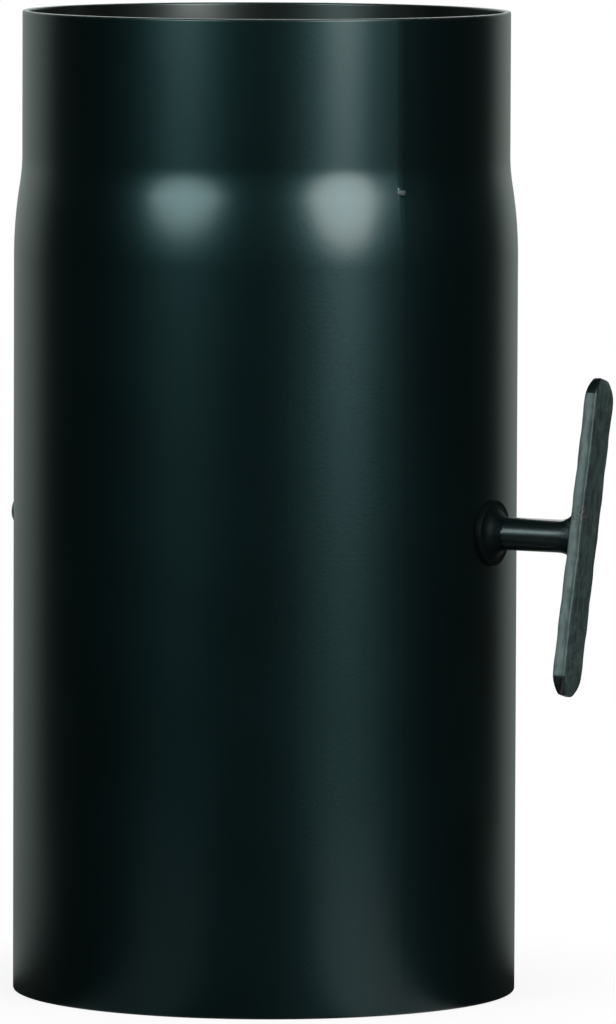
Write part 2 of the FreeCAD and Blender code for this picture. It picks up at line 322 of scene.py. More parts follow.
class Graph:
    """Shader nodes of one material or world."""

    def __init__(self, tree: bpy.types.NodeTree) -> None:
        """Take over a node tree and empty it."""
        self.tree = tree
        tree.nodes.clear()

    def node(
        self, kind: str, settings: Mapping[str, object], inputs: Mapping[str | int, Setting]
    ) -> bpy.types.Node:
        """Add a node.

        Args:
            kind: type of the node.
            settings: attributes of the node, which are set first.
            inputs: value or link of each socket, by its name or number.

        Returns:
            The node.
        """
        node = self.tree.nodes.new(kind)
        for name, value in settings.items():
            setattr(node, name, value)
        for key, value in inputs.items():
            socket = node.inputs[key]
            if isinstance(value, Term):
                self.tree.links.new(value.socket, socket)
            elif socket.type == "RGBA":
                socket.default_value = (*value, 1.0)
            else:
                socket.default_value = value
        return node

    def term(
        self,
        kind: str,
        settings: Mapping[str, object],
        inputs: Mapping[str | int, Setting],
        output: str | int = 0,
    ) -> Term:
        """Add a node and wrap one of its outputs.

        Args:
            kind: type of the node.
            settings: attributes of the node.
            inputs: value or link of each socket.
            output: name or number of the output.

        Returns:
            The output.
        """
        return Term(self, self.node(kind, settings, inputs).outputs[output])

    def place(self) -> Term:
        """Place on the object, in metres of the frame."""
        return self.term("ShaderNodeTexCoord", {}, {}, "Object")

    def axes(self, vector: Term) -> tuple[Term, Term, Term]:
        """Split a vector into its three parts."""
        parts = self.node("ShaderNodeSeparateXYZ", {}, {0: vector}).outputs
        return Term(self, parts[0]), Term(self, parts[1]), Term(self, parts[2])

    def vector_math(self, operation: str, *vectors: Setting, output: str = "Vector") -> Term:
        """Add a Vector Math node on one or two vectors."""
        inputs = dict(enumerate(vectors))
        return self.term("ShaderNodeVectorMath", {"operation": operation}, inputs, output)

    def noise(self, vector: Term, size_mm: float, detail: float = 2.0) -> Term:
        """Cloudy value between 0 and 1 whose patches are about as large as the size.

        Args:
            vector: place on the object.
            size_mm: size of a patch.
            detail: how many finer layers are added.

        Returns:
            The value.
        """
        inputs = {"Vector": vector, "Scale": 1.0 / (size_mm * METRES), "Detail": detail}
        return self.term("ShaderNodeTexNoise", {}, inputs)

    def flakes(self, vector: Term, size_mm: float) -> Term:
        """Value between 0 and 1 that is the same all over each flake of a broken pattern.

        Args:
            vector: place on the object.
            size_mm: size of a flake.

        Returns:
            The value.
        """
        inputs = {"Vector": vector, "Scale": 1.0 / (size_mm * METRES)}
        colour = self.term("ShaderNodeTexVoronoi", {}, inputs, "Color")
        return self.axes(colour)[0]

    def step(self, value: Setting, low: float, high: float) -> Term:
        """Smooth step from 0 at the low value to 1 at the high value.

        Args:
            value: value that is stepped.
            low: where the step begins.
            high: where it ends.

        Returns:
            The step.
        """
        settings = {"interpolation_type": "SMOOTHSTEP", "clamp": True}
        inputs = {"Value": value, "From Min": low, "From Max": high}
        return self.term("ShaderNodeMapRange", settings, inputs)

    def mix(self, share: Setting, first: Setting, second: Setting) -> Term:
        """Mix two colours, with the share of the second one."""
        inputs = {MIX_SHARE: share, MIX_FIRST: first, MIX_SECOND: second}
        return self.term("ShaderNodeMix", {"data_type": "RGBA"}, inputs, MIX_RESULT)

    def bump(self, height: Term, depth_mm: float) -> Term:
        """Surface direction under a relief whose full height is the depth."""
        inputs = {"Height": height, "Distance": depth_mm * METRES, "Strength": 1.0}
        return self.term("ShaderNodeBump", {}, inputs)


@dataclass(frozen=True)
class Finish:
    """Surface finish that makes one material."""

    name: str

    def sockets(self, graph: Graph) -> dict[str, Setting]:
        """Values and links of the surface shader."""
        raise NotImplementedError

    def material(self) -> bpy.types.Material:
        """Build the material.

        Returns:
            A new material with the finish's shader.
        """
        material = bpy.data.materials.new(self.name)
        material.use_nodes = True
        graph = Graph(material.node_tree)
        surface = graph.term("ShaderNodeBsdfPrincipled", {}, self.sockets(graph), "BSDF")
        graph.node("ShaderNodeOutputMaterial", {}, {"Surface": surface})
        return material


@dataclass(frozen=True)
class StovePaint(Finish):
    """Heat-proof paint, nearly black, with a fine grain and an uneven gloss.

    Attributes:
        colour: colour of the paint.
        sheen_tint: colour of its gloss seen straight on.
        roughness: roughness of the smoothest and of the dullest spots.
        gloss: weight of the smooth top layer.
        gloss_roughness: roughness of that layer.
        grain_mm: size of the paint's grain.
        grain_depth_mm: depth of the grain.
        grain_share: share of the grain in the roughness, next to the patches.
        dents_mm: size of the dents in the metal under the paint.
        dents_depth_mm: depth of the dents.
        worn_ends: height of the piece's ends where the edges are worn, or None.
        worn_width: how far from an end it is rubbed.
        worn_edge: values of the grain at which the metal begins to show and shows most.
        worn_most: most of the metal that shows.
        metal: colour of the metal that shows there.
        patch_mm: size of the patches of lighter colour.
        patch_share: share of the patches in the colour, next to the grain.
        patch_edge: values at which the colour begins to lighten and is lightest.
        shine: specular level of the paint.
        contrast: how much lighter the lighter patches are.
    """

    colour: Colour
    sheen_tint: Colour
    roughness: Pair
    gloss: float
    gloss_roughness: float
    grain_mm: float = 0.9
    grain_depth_mm: float = 0.045
    grain_share: float = 0.6
    dents_mm: float = 14.0
    dents_depth_mm: float = 0.01
    worn_ends: Pair | None = None
    worn_width: float = 0.9
    worn_edge: Pair = (0.25, 0.65)
    worn_most: float = 0.35
    metal: Colour = (0.085, 0.085, 0.08)
    patch_mm: float = 35.0
    patch_share: float = 0.6
    patch_edge: Pair = (0.36, 0.66)
    shine: float = 0.5
    contrast: float = 1.7

    def sockets(self, graph: Graph) -> dict[str, Setting]:
        """Vary the colour and the roughness by grain and patches, and show metal at worn ends.

        Args:
            graph: graph of the material.

        Returns:
            Values and links of the surface shader.
        """
        place = graph.place()
        grain = graph.noise(place, self.grain_mm, detail=3.0)
        patches = graph.noise(place, self.patch_mm)
        dents = graph.noise(place, self.dents_mm, detail=1.0)
        lighter = graph.step(patches.blend(grain, self.patch_share), *self.patch_edge)
        colour = graph.mix(lighter, self.colour, scaled(self.colour, self.contrast))
        if self.worn_ends is not None:
            colour = graph.mix(self._worn(graph, place, grain), colour, self.metal)
        relief = grain * self.grain_depth_mm + dents * self.dents_depth_mm
        return {
            "Base Color": colour,
            "Roughness": grain.blend(patches, self.grain_share).between(*self.roughness),
            "Specular IOR Level": self.shine,
            "Specular Tint": self.sheen_tint,
            "Coat Weight": self.gloss,
            "Coat Roughness": self.gloss_roughness,
            "Normal": graph.bump(relief, depth_mm=1.0),
        }

    def _worn(self, graph: Graph, place: Term, grain: Term) -> Term:
        """Share of bare metal: specks of the grain within a short way of either end.

        Args:
            graph: graph of the material.
            place: place on the object.
            grain: the paint's grain.

        Returns:
            The share.
        """
        height = graph.axes(place)[2]
        bottom, top = scaled(self.worn_ends, METRES)
        middle = (bottom + top) / 2
        reach = (top - bottom) / 2
        near = graph.step(abs(height - middle), reach - self.worn_width * METRES, reach)
        return near * graph.step(grain, *self.worn_edge) * self.worn_most


@dataclass(frozen=True)
class GripPaint(StovePaint):
    """Stove paint on the bar that is held: streaked along the bar, lightened by a painted highlight along
    its narrow sides, and scorched by its weld.

    Attributes:
        bar_face: place of the bar's inner face along X.
        line_height: height of the spindle's line.
        lean: lean of the bar, which the streaks follow.
        streak_mm: width of a streak.
        streak_ratio: how many times longer than wide a streak is.
        streak_edge: values of the streaks at which they begin to darken and are darkest.
        streak_most: most of the darker colour that shows.
        streak_colour: colour of the darker streaks.
        highlight_line: distance from the inner face of the middle of the painted highlight.
        highlight_width: distances from that line at which the painted highlight begins to fade and ends.
        highlight_wander: how far the line of painted highlight wanders.
        highlight_colour: colour of the painted highlight.
        scorch_place: middle of the scorched spot, from the spindle's line at the inner face.
        scorch_radius: radius of that spot.
        scorch_core: share of the radius at which the spot begins to fade.
        scorch_ragged: how ragged its border is, as a share of the radius.
        scorch_colours: colours of its dark and pale specks.
        speck_mm: size of a speck.
        speck_edge: values of the specks between the dark and the pale ones.
    """

    bar_face: float = 0.0
    line_height: float = 0.0
    lean: float = 0.0
    streak_mm: float = 1.8
    streak_ratio: float = 3.5
    streak_edge: Pair = (0.46, 0.64)
    streak_most: float = 0.75
    streak_colour: Colour = (0.012, 0.021, 0.022)
    highlight_line: float = 1.5
    highlight_width: Pair = (0.2, 1.6)
    highlight_wander: float = 3.0
    highlight_colour: Colour = (0.092, 0.124, 0.121)
    scorch_place: Place = (4.0, -3.2, 7.4)
    scorch_radius: float = 4.4
    scorch_core: float = 0.3
    scorch_ragged: float = 1.2
    scorch_colours: tuple[Colour, Colour] = ((0.010, 0.015, 0.015), (0.072, 0.090, 0.088))
    speck_mm: float = 0.5
    speck_edge: Pair = (0.42, 0.6)

    def sockets(self, graph: Graph) -> dict[str, Setting]:
        """Take the paint's own sockets, with streaks, a painted highlight and specks in the colour.

        Args:
            graph: graph of the material.

        Returns:
            Values and links of the surface shader.
        """
        sockets = super().sockets(graph)
        place = graph.place()
        turned = {
            "Vector": place,
            "Rotation": (-math.radians(self.lean), 0.0, 0.0),
            "Scale": (1.0, 1.0, self.streak_ratio),
        }
        along_bar = graph.term("ShaderNodeMapping", {"vector_type": "TEXTURE"}, turned)
        streaks = graph.noise(along_bar, self.streak_mm, detail=3.0)
        darker = graph.step(streaks, *self.streak_edge) * self.streak_most
        colour = graph.mix(darker, sockets["Base Color"], self.streak_colour)
        # A pale line along the bar's narrow sides is a painted highlight.
        colour = graph.mix(self._painted_highlight(graph, place, streaks), colour, self.highlight_colour)
        specks = graph.noise(place, self.speck_mm)
        burnt = graph.mix(graph.step(specks, *self.speck_edge), *self.scorch_colours)
        ragged = streaks + specks - 2 * NOISE_MIDDLE
        sockets["Base Color"] = graph.mix(self._scorched(graph, place, ragged), colour, burnt)
        return sockets

    def _painted_highlight(self, graph: Graph, place: Term, streaks: Term) -> Term:
        """Share of painted highlight: a pale line beside the inner face that wanders with the streaks.

        Args:
            graph: graph of the material.
            place: place on the object.
            streaks: the paint's streaks.

        Returns:
            The share.
        """
        line = (self.bar_face + self.highlight_line) * METRES
        wander = (streaks - NOISE_MIDDLE) * (self.highlight_wander * METRES)
        beside = abs(graph.axes(place)[0] - line + wander)
        return 1.0 - graph.step(beside, *scaled(self.highlight_width, METRES))

    def _scorched(self, graph: Graph, place: Term, ragged: Term) -> Term:
        """Share of scorched paint: a ball round the spot's middle with a ragged border.

        Args:
            graph: graph of the material.
            place: place on the object.
            ragged: value round zero that moves the border.

        Returns:
            The share.
        """
        along, across, up = self.scorch_place
        middle = scaled((self.bar_face + along, across, self.line_height + up), METRES)
        reach = self.scorch_radius * METRES
        away = graph.vector_math("DISTANCE", place, middle, output="Value")
        away = away + ragged * (self.scorch_ragged * reach)
        return 1.0 - graph.step(away, self.scorch_core * reach, reach)


@dataclass(frozen=True)
class ScaledSteel(Finish):
    """Hot-rolled steel under its own dark scale, with brown where it was heated.

    Attributes:
        scale_colour: colour of the scale.
        bare_colour: colour of the steel where the scale is thin.
        bare_edge: values of the streaks at which the scale begins to thin and is thinnest.
        heat_colour: brown of the heated patches.
        heat: how much brown shows.
        heat_mm: size of a heated patch.
        heat_edge: values of the patches at which the brown begins to show and shows most.
        metal: how metallic the scale and the bare steel are.
        roughness: roughness of the smoothest and of the dullest spots.
        rolled_mm: length of the streaks left by rolling.
        rolled_ratio: how many times longer than wide they are.
        rolled_share: share of the streaks in the thin scale, next to the pits.
        pit_mm: size of a pit.
        pit_share: share of the pits in the roughness, next to the heated patches.
        relief_mm: depth of the pits and streaks.
        relief_share: share of the pits in that depth.
    """

    scale_colour: Colour = (0.075, 0.077, 0.084)
    bare_colour: Colour = (0.24, 0.24, 0.245)
    bare_edge: Pair = (0.46, 0.72)
    heat_colour: Colour = (0.12, 0.062, 0.036)
    heat: float = 0.5
    heat_mm: float = 22.0
    heat_edge: Pair = (0.5, 0.7)
    metal: Pair = (0.15, 0.7)
    roughness: Pair = (0.38, 0.62)
    rolled_mm: float = 26.0
    rolled_ratio: float = 6.0
    rolled_share: float = 0.7
    pit_mm: float = 0.7
    pit_share: float = 0.5
    relief_mm: float = 0.03
    relief_share: float = 0.6

    def sockets(self, graph: Graph) -> dict[str, Setting]:
        """Thin the scale by streaks, redden it by patches and roughen it by fine pits.

        Args:
            graph: graph of the material.

        Returns:
            Values and links of the surface shader.
        """
        place = graph.place()
        drawn_out = graph.vector_math("MULTIPLY", place, (1.0, self.rolled_ratio, self.rolled_ratio))
        streaks = graph.noise(drawn_out, self.rolled_mm, detail=4.0)
        heated = graph.noise(place, self.heat_mm, detail=3.0)
        pits = graph.noise(place, self.pit_mm)
        bare = graph.step(streaks.blend(pits, self.rolled_share), *self.bare_edge)
        colour = graph.mix(bare, self.scale_colour, self.bare_colour)
        brown = graph.step(heated, *self.heat_edge) * self.heat
        return {
            "Base Color": graph.mix(brown, colour, self.heat_colour),
            "Metallic": bare.between(*self.metal),
            "Roughness": pits.blend(heated, self.pit_share).between(*self.roughness),
            "Normal": graph.bump(pits.blend(streaks, self.relief_share), self.relief_mm),
        }


@dataclass(frozen=True)
class SprayedSteel(ScaledSteel):
    """Scaled steel inside a pipe, with the paint that was sprayed in from both ends.

    Attributes:
        ends: heights of the pipe's ends.
        spray: how far in the last of the paint reaches.
        spray_edge: shares of that reach at which the paint begins to thin and ends.
        drop_mm: size of the drops that break up the paint's edge.
        drift_mm: size of the larger drifts that do so.
        drop_share: share of the drops, next to the drifts.
        paint: colour of the paint.
        paint_roughness: roughness of the paint.
        coat_roughness: roughness of the paint's smooth top layer.
        sheen_tint: colour of the gloss seen straight on.
        shine: specular level.
    """

    ends: Pair = (0.0, 1.0)
    spray: float = 60.0
    spray_edge: Pair = (0.35, 0.8)
    drop_mm: float = 1.2
    drift_mm: float = 18.0
    drop_share: float = 0.6
    paint: Colour = (0.0012, 0.0016, 0.0012)
    paint_roughness: float = 0.30
    coat_roughness: float = 0.18
    sheen_tint: Colour = (0.75, 1.0, 0.97)
    shine: float = 0.95

    def sockets(self, graph: Graph) -> dict[str, Setting]:
        """Take the steel's own sockets, and cover them with paint whose edge is broken up.

        Args:
            graph: graph of the material.

        Returns:
            Values and links of the surface shader.
        """
        steel = super().sockets(graph)
        place = graph.place()
        bottom, top = scaled(self.ends, METRES)
        inwards = (top - bottom) / 2 - abs(graph.axes(place)[2] - (top + bottom) / 2)
        drops = graph.noise(place, self.drop_mm, detail=3.0)
        broken = drops.blend(graph.noise(place, self.drift_mm), self.drop_share)
        reach = self.spray * METRES
        ragged = inwards + (broken - NOISE_MIDDLE) * reach
        cover = 1.0 - graph.step(ragged, *scaled(self.spray_edge, reach))
        bare = 1.0 - cover
        return {
            "Base Color": graph.mix(cover, steel["Base Color"], self.paint),
            "Metallic": steel["Metallic"] * bare,
            "Roughness": steel["Roughness"] * bare + cover * self.paint_roughness,
            "Specular IOR Level": self.shine,
            "Specular Tint": self.sheen_tint,
            "Coat Weight": cover,
            "Coat Roughness": self.coat_roughness,
            "Normal": steel["Normal"],
        }


@dataclass(frozen=True)
class ZincPlate(Finish):
    """Zinc-plated steel: pale, a little yellow, with fine crystals and dull clouds.

    Attributes:
        bright: colour of the bright crystals.
        dull: colour of the dull crystals.
        crystal_mm: size of a crystal.
        crystal_share: share of the crystals in the colour and the roughness, next to the clouds.
        cloud_mm: size of a cloud.
        cloud_share: share of the clouds in the relief, next to the crystals.
        metal: how metallic the zinc is.
        roughness: roughness of the smoothest and of the dullest spots.
        relief_mm: depth of the relief.
    """

    bright: Colour = (0.62, 0.61, 0.57)
    dull: Colour = (0.40, 0.39, 0.36)
    crystal_mm: float = 0.5
    crystal_share: float = 0.45
    cloud_mm: float = 3.0
    cloud_share: float = 0.7
    metal: float = 0.75
    roughness: Pair = (0.26, 0.48)
    relief_mm: float = 0.015

    def sockets(self, graph: Graph) -> dict[str, Setting]:
        """Vary the colour and the roughness of the metal by crystals and clouds.

        Args:
            graph: graph of the material.

        Returns:
            Values and links of the surface shader.
        """
        place = graph.place()
        crystals = graph.flakes(place, self.crystal_mm)
        clouds = graph.noise(place, self.cloud_mm, detail=3.0)
        share = crystals.blend(clouds, self.crystal_share)
        return {
            "Base Color": graph.mix(share, self.bright, self.dull),
            "Metallic": self.metal,
            "Roughness": share.between(*self.roughness),
            "Normal": graph.bump(clouds.blend(crystals, self.cloud_share), self.relief_mm),
        }


@dataclass(frozen=True)
class FinishSet:
    """Materials of the record's slots, and those of places that look different.

    Attributes:
        materials: material of each slot.
        pipe_inside: inside of the pipe.
        grip: bar that is held.
        root: dull paint on the thrust washer and its weld.
        painted_glint: paler steel on the drop of weld on the seam, which is a painted glint.
    """

    materials: Mapping[Slot, bpy.types.Material]
    pipe_inside: bpy.types.Material
    grip: bpy.types.Material
    root: bpy.types.Material
    painted_glint: bpy.types.Material

    @classmethod
    def mix(cls, pipe_length: float, line: "SpindleLine", bar_face: float) -> "FinishSet":
        """Build all the materials.

        Args:
            pipe_length: length of the pipe, whose ends are rubbed.
            line: the spindle's line.
            bar_face: place of the handle bar's inner face.

        Returns:
            The set.
        """
        paint = StovePaint(
            name="pipe_paint",
            colour=(0.0005, 0.0017, 0.0019),
            sheen_tint=(0.22, 0.95, 1.0),
            roughness=(0.30, 0.38),
            gloss=1.0,
            gloss_roughness=0.22,
            worn_ends=(0.0, pipe_length),
        )
        handle = StovePaint(
            name="handle_paint",
            colour=(0.0008, 0.0022, 0.0024),
            sheen_tint=(0.80, 1.0, 1.0),
            roughness=(0.30, 0.40),
            gloss=0.9,
            gloss_roughness=0.22,
            grain_depth_mm=0.03,
            dents_mm=5.0,
            dents_depth_mm=0.02,
            shine=0.8,
        )
        # The grip paint carries a painted highlight: a pale line along the bar's narrow sides.
        grip = GripPaint(
            name="grip_paint",
            colour=(0.025, 0.042, 0.040),
            sheen_tint=(0.75, 1.0, 1.0),
            roughness=(0.42, 0.58),
            gloss=0.3,
            gloss_roughness=0.32,
            grain_depth_mm=0.05,
            dents_mm=3.5,
            dents_depth_mm=0.12,
            patch_mm=2.4,
            contrast=1.6,
            bar_face=bar_face,
            line_height=line.height,
            lean=line.lean,
        )
        root = replace(
            handle, name="root_paint", roughness=(0.45, 0.6), gloss=0.04, gloss_roughness=0.4, shine=0.12
        )
        materials = {
            Slot.PIPE_PAINT: paint.material(),
            Slot.HANDLE_PAINT: handle.material(),
            Slot.PLATE_STEEL: ScaledSteel(name="plate_steel").material(),
            Slot.ZINC_STEEL: ZincPlate(name="zinc_steel").material(),
        }
        inside = SprayedSteel(
            name="pipe_inside",
            scale_colour=(0.035, 0.035, 0.038),
            bare_colour=(0.095, 0.092, 0.090),
            heat_colour=(0.060, 0.032, 0.020),
            heat=0.7,
            metal=(0.0, 0.4),
            relief_mm=0.006,
            ends=(0.0, pipe_length),
        )
        # Paler steel on the weld drop: a painted glint.
        painted_glint = ScaledSteel(
            name="painted_glint_steel",
            scale_colour=(0.05, 0.07, 0.07),
            bare_colour=(0.10, 0.12, 0.12),
            heat=0.0,
            metal=(0.0, 0.2),
        )
        places = [inside, grip, root, painted_glint]
        return cls(materials, *(finish.material() for finish in places))


@dataclass(frozen=True)
class SpindleLine:
    """Line that the turning pieces turn about.

    Attributes:
        height: height of the line.
        lean: how far the handle's top leans towards +Y at rest.
    """

    height: float
    lean: float = 14.0

    def place(self, points: np.ndarray) -> np.ndarray:
        """Lean upright points about the line, then lift them to it.

        Args:
            points: places along, across and up, with the line at zero.

        Returns:
            The places in the frame.
        """
        angle = math.radians(self.lean)
        along, across, up = np.moveaxis(points, -1, 0)
        leaned_across = across * math.cos(angle) + up * math.sin(angle)
        leaned_up = up * math.cos(angle) - across * math.sin(angle)
        return grid_of(along, leaned_across, leaned_up + self.height)

    def turned(self, along: np.ndarray, radius: np.ndarray, angles: np.ndarray) -> np.ndarray:
        """Surface of revolution about the line: each row goes round at its own radius.

        Args:
            along: place of each point along the line, as rows or as a whole grid.
            radius: distance from the line, likewise.
            angles: angle of each column from across to up, in radians.

        Returns:
            Grid of points in the frame.
        """
        return self.place(grid_of(along, radius * np.cos(angles), radius * np.sin(angles)))


@dataclass(frozen=True)
class Washer:
    """Ring on the spindle: a rectangle with round corners turned about the spindle's line.

    A bowed ring also bends back along the line, by an arc of the height above or below the line.

    Attributes:
        sheet: thickness of the ring's sheet.
        radius: outside radius.
        bore: radius of its hole.
        ease: radius of its edges.
        rise: how far the arc bends the outside back, or 0 for a flat ring.
        corner_steps: steps of each edge.
    """

    sheet: float
    radius: float
    bore: float
    ease: float
    rise: float = 0.0
    corner_steps: int = 4

    def patch(self, line: SpindleLine, start: float) -> Patch:
        """Ring with its first face at a place along the line.

        Args:
            line: the spindle's line.
            start: place of the first face.

        Returns:
            The closed grid.
        """
        column = np.ones((1, 1))
        halves = column * self.sheet / 2, column * (self.radius - self.bore) / 2
        along, out = rounded_box(*halves, column * self.ease, self.corner_steps)
        along = np.append(along[0], along[0, 0])[:, None] + start + self.sheet / 2
        out = np.append(out[0], out[0, 0])[:, None] + (self.radius + self.bore) / 2
        angles = turn_angles(RING_COLUMNS)
        if self.rise:
            bow = (self.radius**2 + self.rise**2) / (2 * self.rise)
            along = along - bow + np.sqrt(bow**2 - (out * np.sin(angles)) ** 2)
        return Patch(line.turned(along, out, angles))


@dataclass(frozen=True)
class Assembly:
    """Pieces that belong together, with the materials that dress them."""

    finishes: FinishSet

    def add(self, piece: bpy.types.Object, body: Body, slot: Slot, *nodes: str) -> None:
        """Put a new piece on its body in place of CAD nodes.

        Args:
            piece: the new object.
            body: body that it rides on.
            slot: not used.
            nodes: CAD nodes that it stands for.
        """
        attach(piece, body.value)
        if nodes:
            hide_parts(*nodes)
        LOG.info("%s: %d faces on %s", piece.name, len(piece.data.polygons), body.value)

    def dress(self, node: bpy.types.Object, slot: Slot) -> None:
        """Give a CAD node the finish of its slot.

        Args:
            node: the CAD node.
            slot: its material slot.
        """
        node.data.materials.clear()
        node.data.materials.append(self.finishes.materials[slot])
        LOG.info("%s: CAD node in %s", node.name, slot.value)


@dataclass(frozen=True)
class PipeAssembly(Assembly):
    """Rolled pipe with a reduced neck, a welded seam and the spindle's two holes.

    Attributes:
        length: length of the pipe.
        radius: outside radius of the wall.
        spindle_height: height of the two holes.
        sheet: thickness of the sheet.
        socket_growth: how much wider the bore is in the socket.
        socket_length: length of the socket.
        socket_blend: length over which the socket narrows to the bore.
        neck_reduction: how much smaller the neck's radius is.
        neck_length: length of the neck.
        shoulder_height: height of the shoulder's arc.
        shoulder_rows: rows of the shoulder.
        crease_round: how far the rounding of the crease reaches up and down.
        crease_rows: rows of that rounding.
        even_rows: rows at even steps of the whole length.
        end_rows: distances of the extra rows from the rounding of each cut edge.
        lip: radius of the rounded cut edges.
        lip_steps: steps of each rounding.
        hole_radius: radius of the spindle's holes.
        window_height: half of the square of wall that is rebuilt round each hole.
        window_turn: half of that square's angle round the pipe.
        window_steps: cells along each side of the square.
        window_rings: rows from the square to the hole.
        seam_azimuth: angle of the seam from +X.
        seam_columns: reach to each side and step of the finer columns at the seam, as angles.
        seam_reach: how far from the seam the sheet stands proud.
        seam_peak: how far it stands proud on the body and on the neck.
        bead_half_width: half of the weld bead's width.
        bead_height: height of the bead.
        bead_sink: how far the bead's middle is sunk in the wall.
        bead_root: share of its height that it goes down from there.
        bead_columns: columns round the bead.
        ripple: spacing of the bead's ripples.
        ripple_rows: rows of each ripple.
        ripple_share: shares of the bead's height and width that ripple.
        ripple_sway: how far the spacing sways, in radians, and the length that it sways over.
        drop_below_crease: place of the drop of weld under the neck.
        drop_size: height, half of the width and reach up and down of the drop.
        drop_half_height: half of the height over which the drop takes paler steel as a painted glint.
    """

    length: float
    radius: float
    spindle_height: float
    sheet: float = 2.0
    socket_growth: float = 0.2
    socket_length: float = 50.0
    socket_blend: float = 10.0
    neck_reduction: float = 2.5
    neck_length: float = 48.8
    shoulder_height: float = 26.0
    shoulder_rows: int = 27
    crease_round: float = 4.6
    crease_rows: int = 15
    even_rows: int = 60
    end_rows: tuple[float, ...] = (0.12, 0.4, 1.2)
    lip: float = 0.6
    lip_steps: int = 5
    hole_radius: float = 5.08
    window_height: float = 8.0
    window_turn: float = 6.0
    window_steps: int = 8
    window_rings: int = 6
    seam_azimuth: float = -29.0
    seam_columns: tuple[Pair, ...] = ((9.0, 0.5), (1.2, 0.2))
    seam_reach: float = 9.0
    seam_peak: Pair = (0.02, 0.20)
    bead_half_width: float = 1.1
    bead_height: float = 0.012
    bead_sink: float = 0.005
    bead_root: float = 0.6
    bead_columns: int = 12
    ripple: float = 2.2
    ripple_rows: int = 6
    ripple_share: Pair = (0.15, 0.1)
    ripple_sway: Pair = (0.8, 7.0)
    drop_below_crease: float = 3.3
    drop_size: tuple[float, float, float] = (0.35, 0.5, 0.8)
    drop_half_height: float = 0.75

    @property
    def crease(self) -> float:
        """Height where the shoulder meets the neck."""
        return self.length - self.neck_length

    def build(self) -> None:
        """Make the pipe and its weld bead."""
        paint = self.finishes.materials[Slot.PIPE_PAINT]
        shell = sew("pipe_shell", self._shell(), [paint, self.finishes.pipe_inside])
        self.add(shell, Body.PIPE, Slot.PIPE_PAINT, "pipe")
        # The drop on the bead takes paler steel as a painted glint.
        bead = sew("seam_bead", self._bead(), [paint, self.finishes.painted_glint], crease=60.0)
        self.add(bead, Body.PIPE, Slot.PIPE_PAINT)

    def wall_radius(self, height: np.ndarray) -> np.ndarray:
        """Outside radius at a height.

        The shoulder is an arc that leaves the wall at a tangent: the radius falls by the arc's own radius
        less the root of its square less the square of the height above the arc's start. At the crease a
        parabola that touches both sides fills the corner.

        Args:
            height: heights above the lower end.

        Returns:
            The radius at each height.
        """
        arc = (self.shoulder_height**2 + self.neck_reduction**2) / (2 * self.neck_reduction)
        rise = np.clip(height - self.crease + self.shoulder_height, 0.0, self.shoulder_height)
        slope = self.shoulder_height / (arc - self.neck_reduction)
        inside_round = np.clip(self.crease_round - np.abs(height - self.crease), 0.0, None)
        hollow = slope * inside_round**2 / (4 * self.crease_round)
        return self.radius - arc + np.sqrt(arc**2 - rise**2) + hollow

    def seam_relief(self, azimuth: np.ndarray, height: np.ndarray) -> np.ndarray:
        """How far the sheet stands proud along the seam: a ridge with hollow flanks, higher on the neck.

        Args:
            azimuth: angles round the pipe, in radians.
            height: heights, as a column.

        Returns:
            Height of the ridge for each row and column.
        """
        turn = np.angle(np.exp(1j * (azimuth - math.radians(self.seam_azimuth))))
        flank = np.clip(1 - np.abs(turn) * self.radius / self.seam_reach, 0.0, None) ** 2
        body, neck = self.seam_peak
        share = np.clip((height - self.crease) / self.shoulder_height + 1, 0.0, 1.0)
        return flank * (body + (neck - body) * share)

    def _azimuths(self) -> np.ndarray:
        """Angles of the columns: even steps that meet the windows' sides, and finer ones at the seam.

        Returns:
            The angles, in radians.
        """
        even = np.arange(0.0, 360.0, 2 * self.window_turn / self.window_steps)
        finer = [np.arange(-reach, reach + step / 2, step) for reach, step in self.seam_columns]
        return np.radians(merged(even, (self.seam_azimuth + np.concatenate(finer)) % 360.0))

    def _heights(self) -> np.ndarray:
        """Heights of the rows: close together at the windows, the shoulder and its crease.

        Returns:
            The heights.
        """
        low, high = self.lip, self.length - self.lip
        even = np.linspace(low, high, self.even_rows)
        even = even[np.abs(even - self.spindle_height) > self.window_height]
        window = self.spindle_height + self.window_height * np.linspace(-1, 1, self.window_steps + 1)
        shoulder = self.crease - self.shoulder_height * np.linspace(0, 1, self.shoulder_rows)
        crease = self.crease + self.crease_round * np.linspace(-1, 1, self.crease_rows)
        socket = self.socket_length + np.array([0.0, self.socket_blend])
        near_end = np.array(self.end_rows)
        return merged(even, window, shoulder, crease, socket, low + near_end, high - near_end)

    def _wall(self, inside: bool) -> Patch:
        """One side of the wall, without the cells of the two windows.

        Args:
            inside: True for the bore.

        Returns:
            The grid of that side.
        """
        azimuth = self._azimuths()
        height = self._heights()[:, None]
        radius = self.wall_radius(height) + self.seam_relief(azimuth, height)
        if inside:
            above = (height - self.socket_length) / self.socket_blend
            radius = radius - self.sheet + self.socket_growth * np.clip(1 - above, 0.0, 1.0)
        middle_up = (height[1:, 0] + height[:-1, 0]) / 2 - self.spindle_height
        middle_turn = azimuth + np.diff(azimuth, append=azimuth[0] + 2 * math.pi) / 2
        beside_line = np.abs(np.sin(middle_turn)) < math.sin(math.radians(self.window_turn))
        window = (np.abs(middle_up) < self.window_height)[:, None] & beside_line[None, :]
        return Patch(upright_grid(radius, azimuth, height), keep=~window, slot=int(inside))

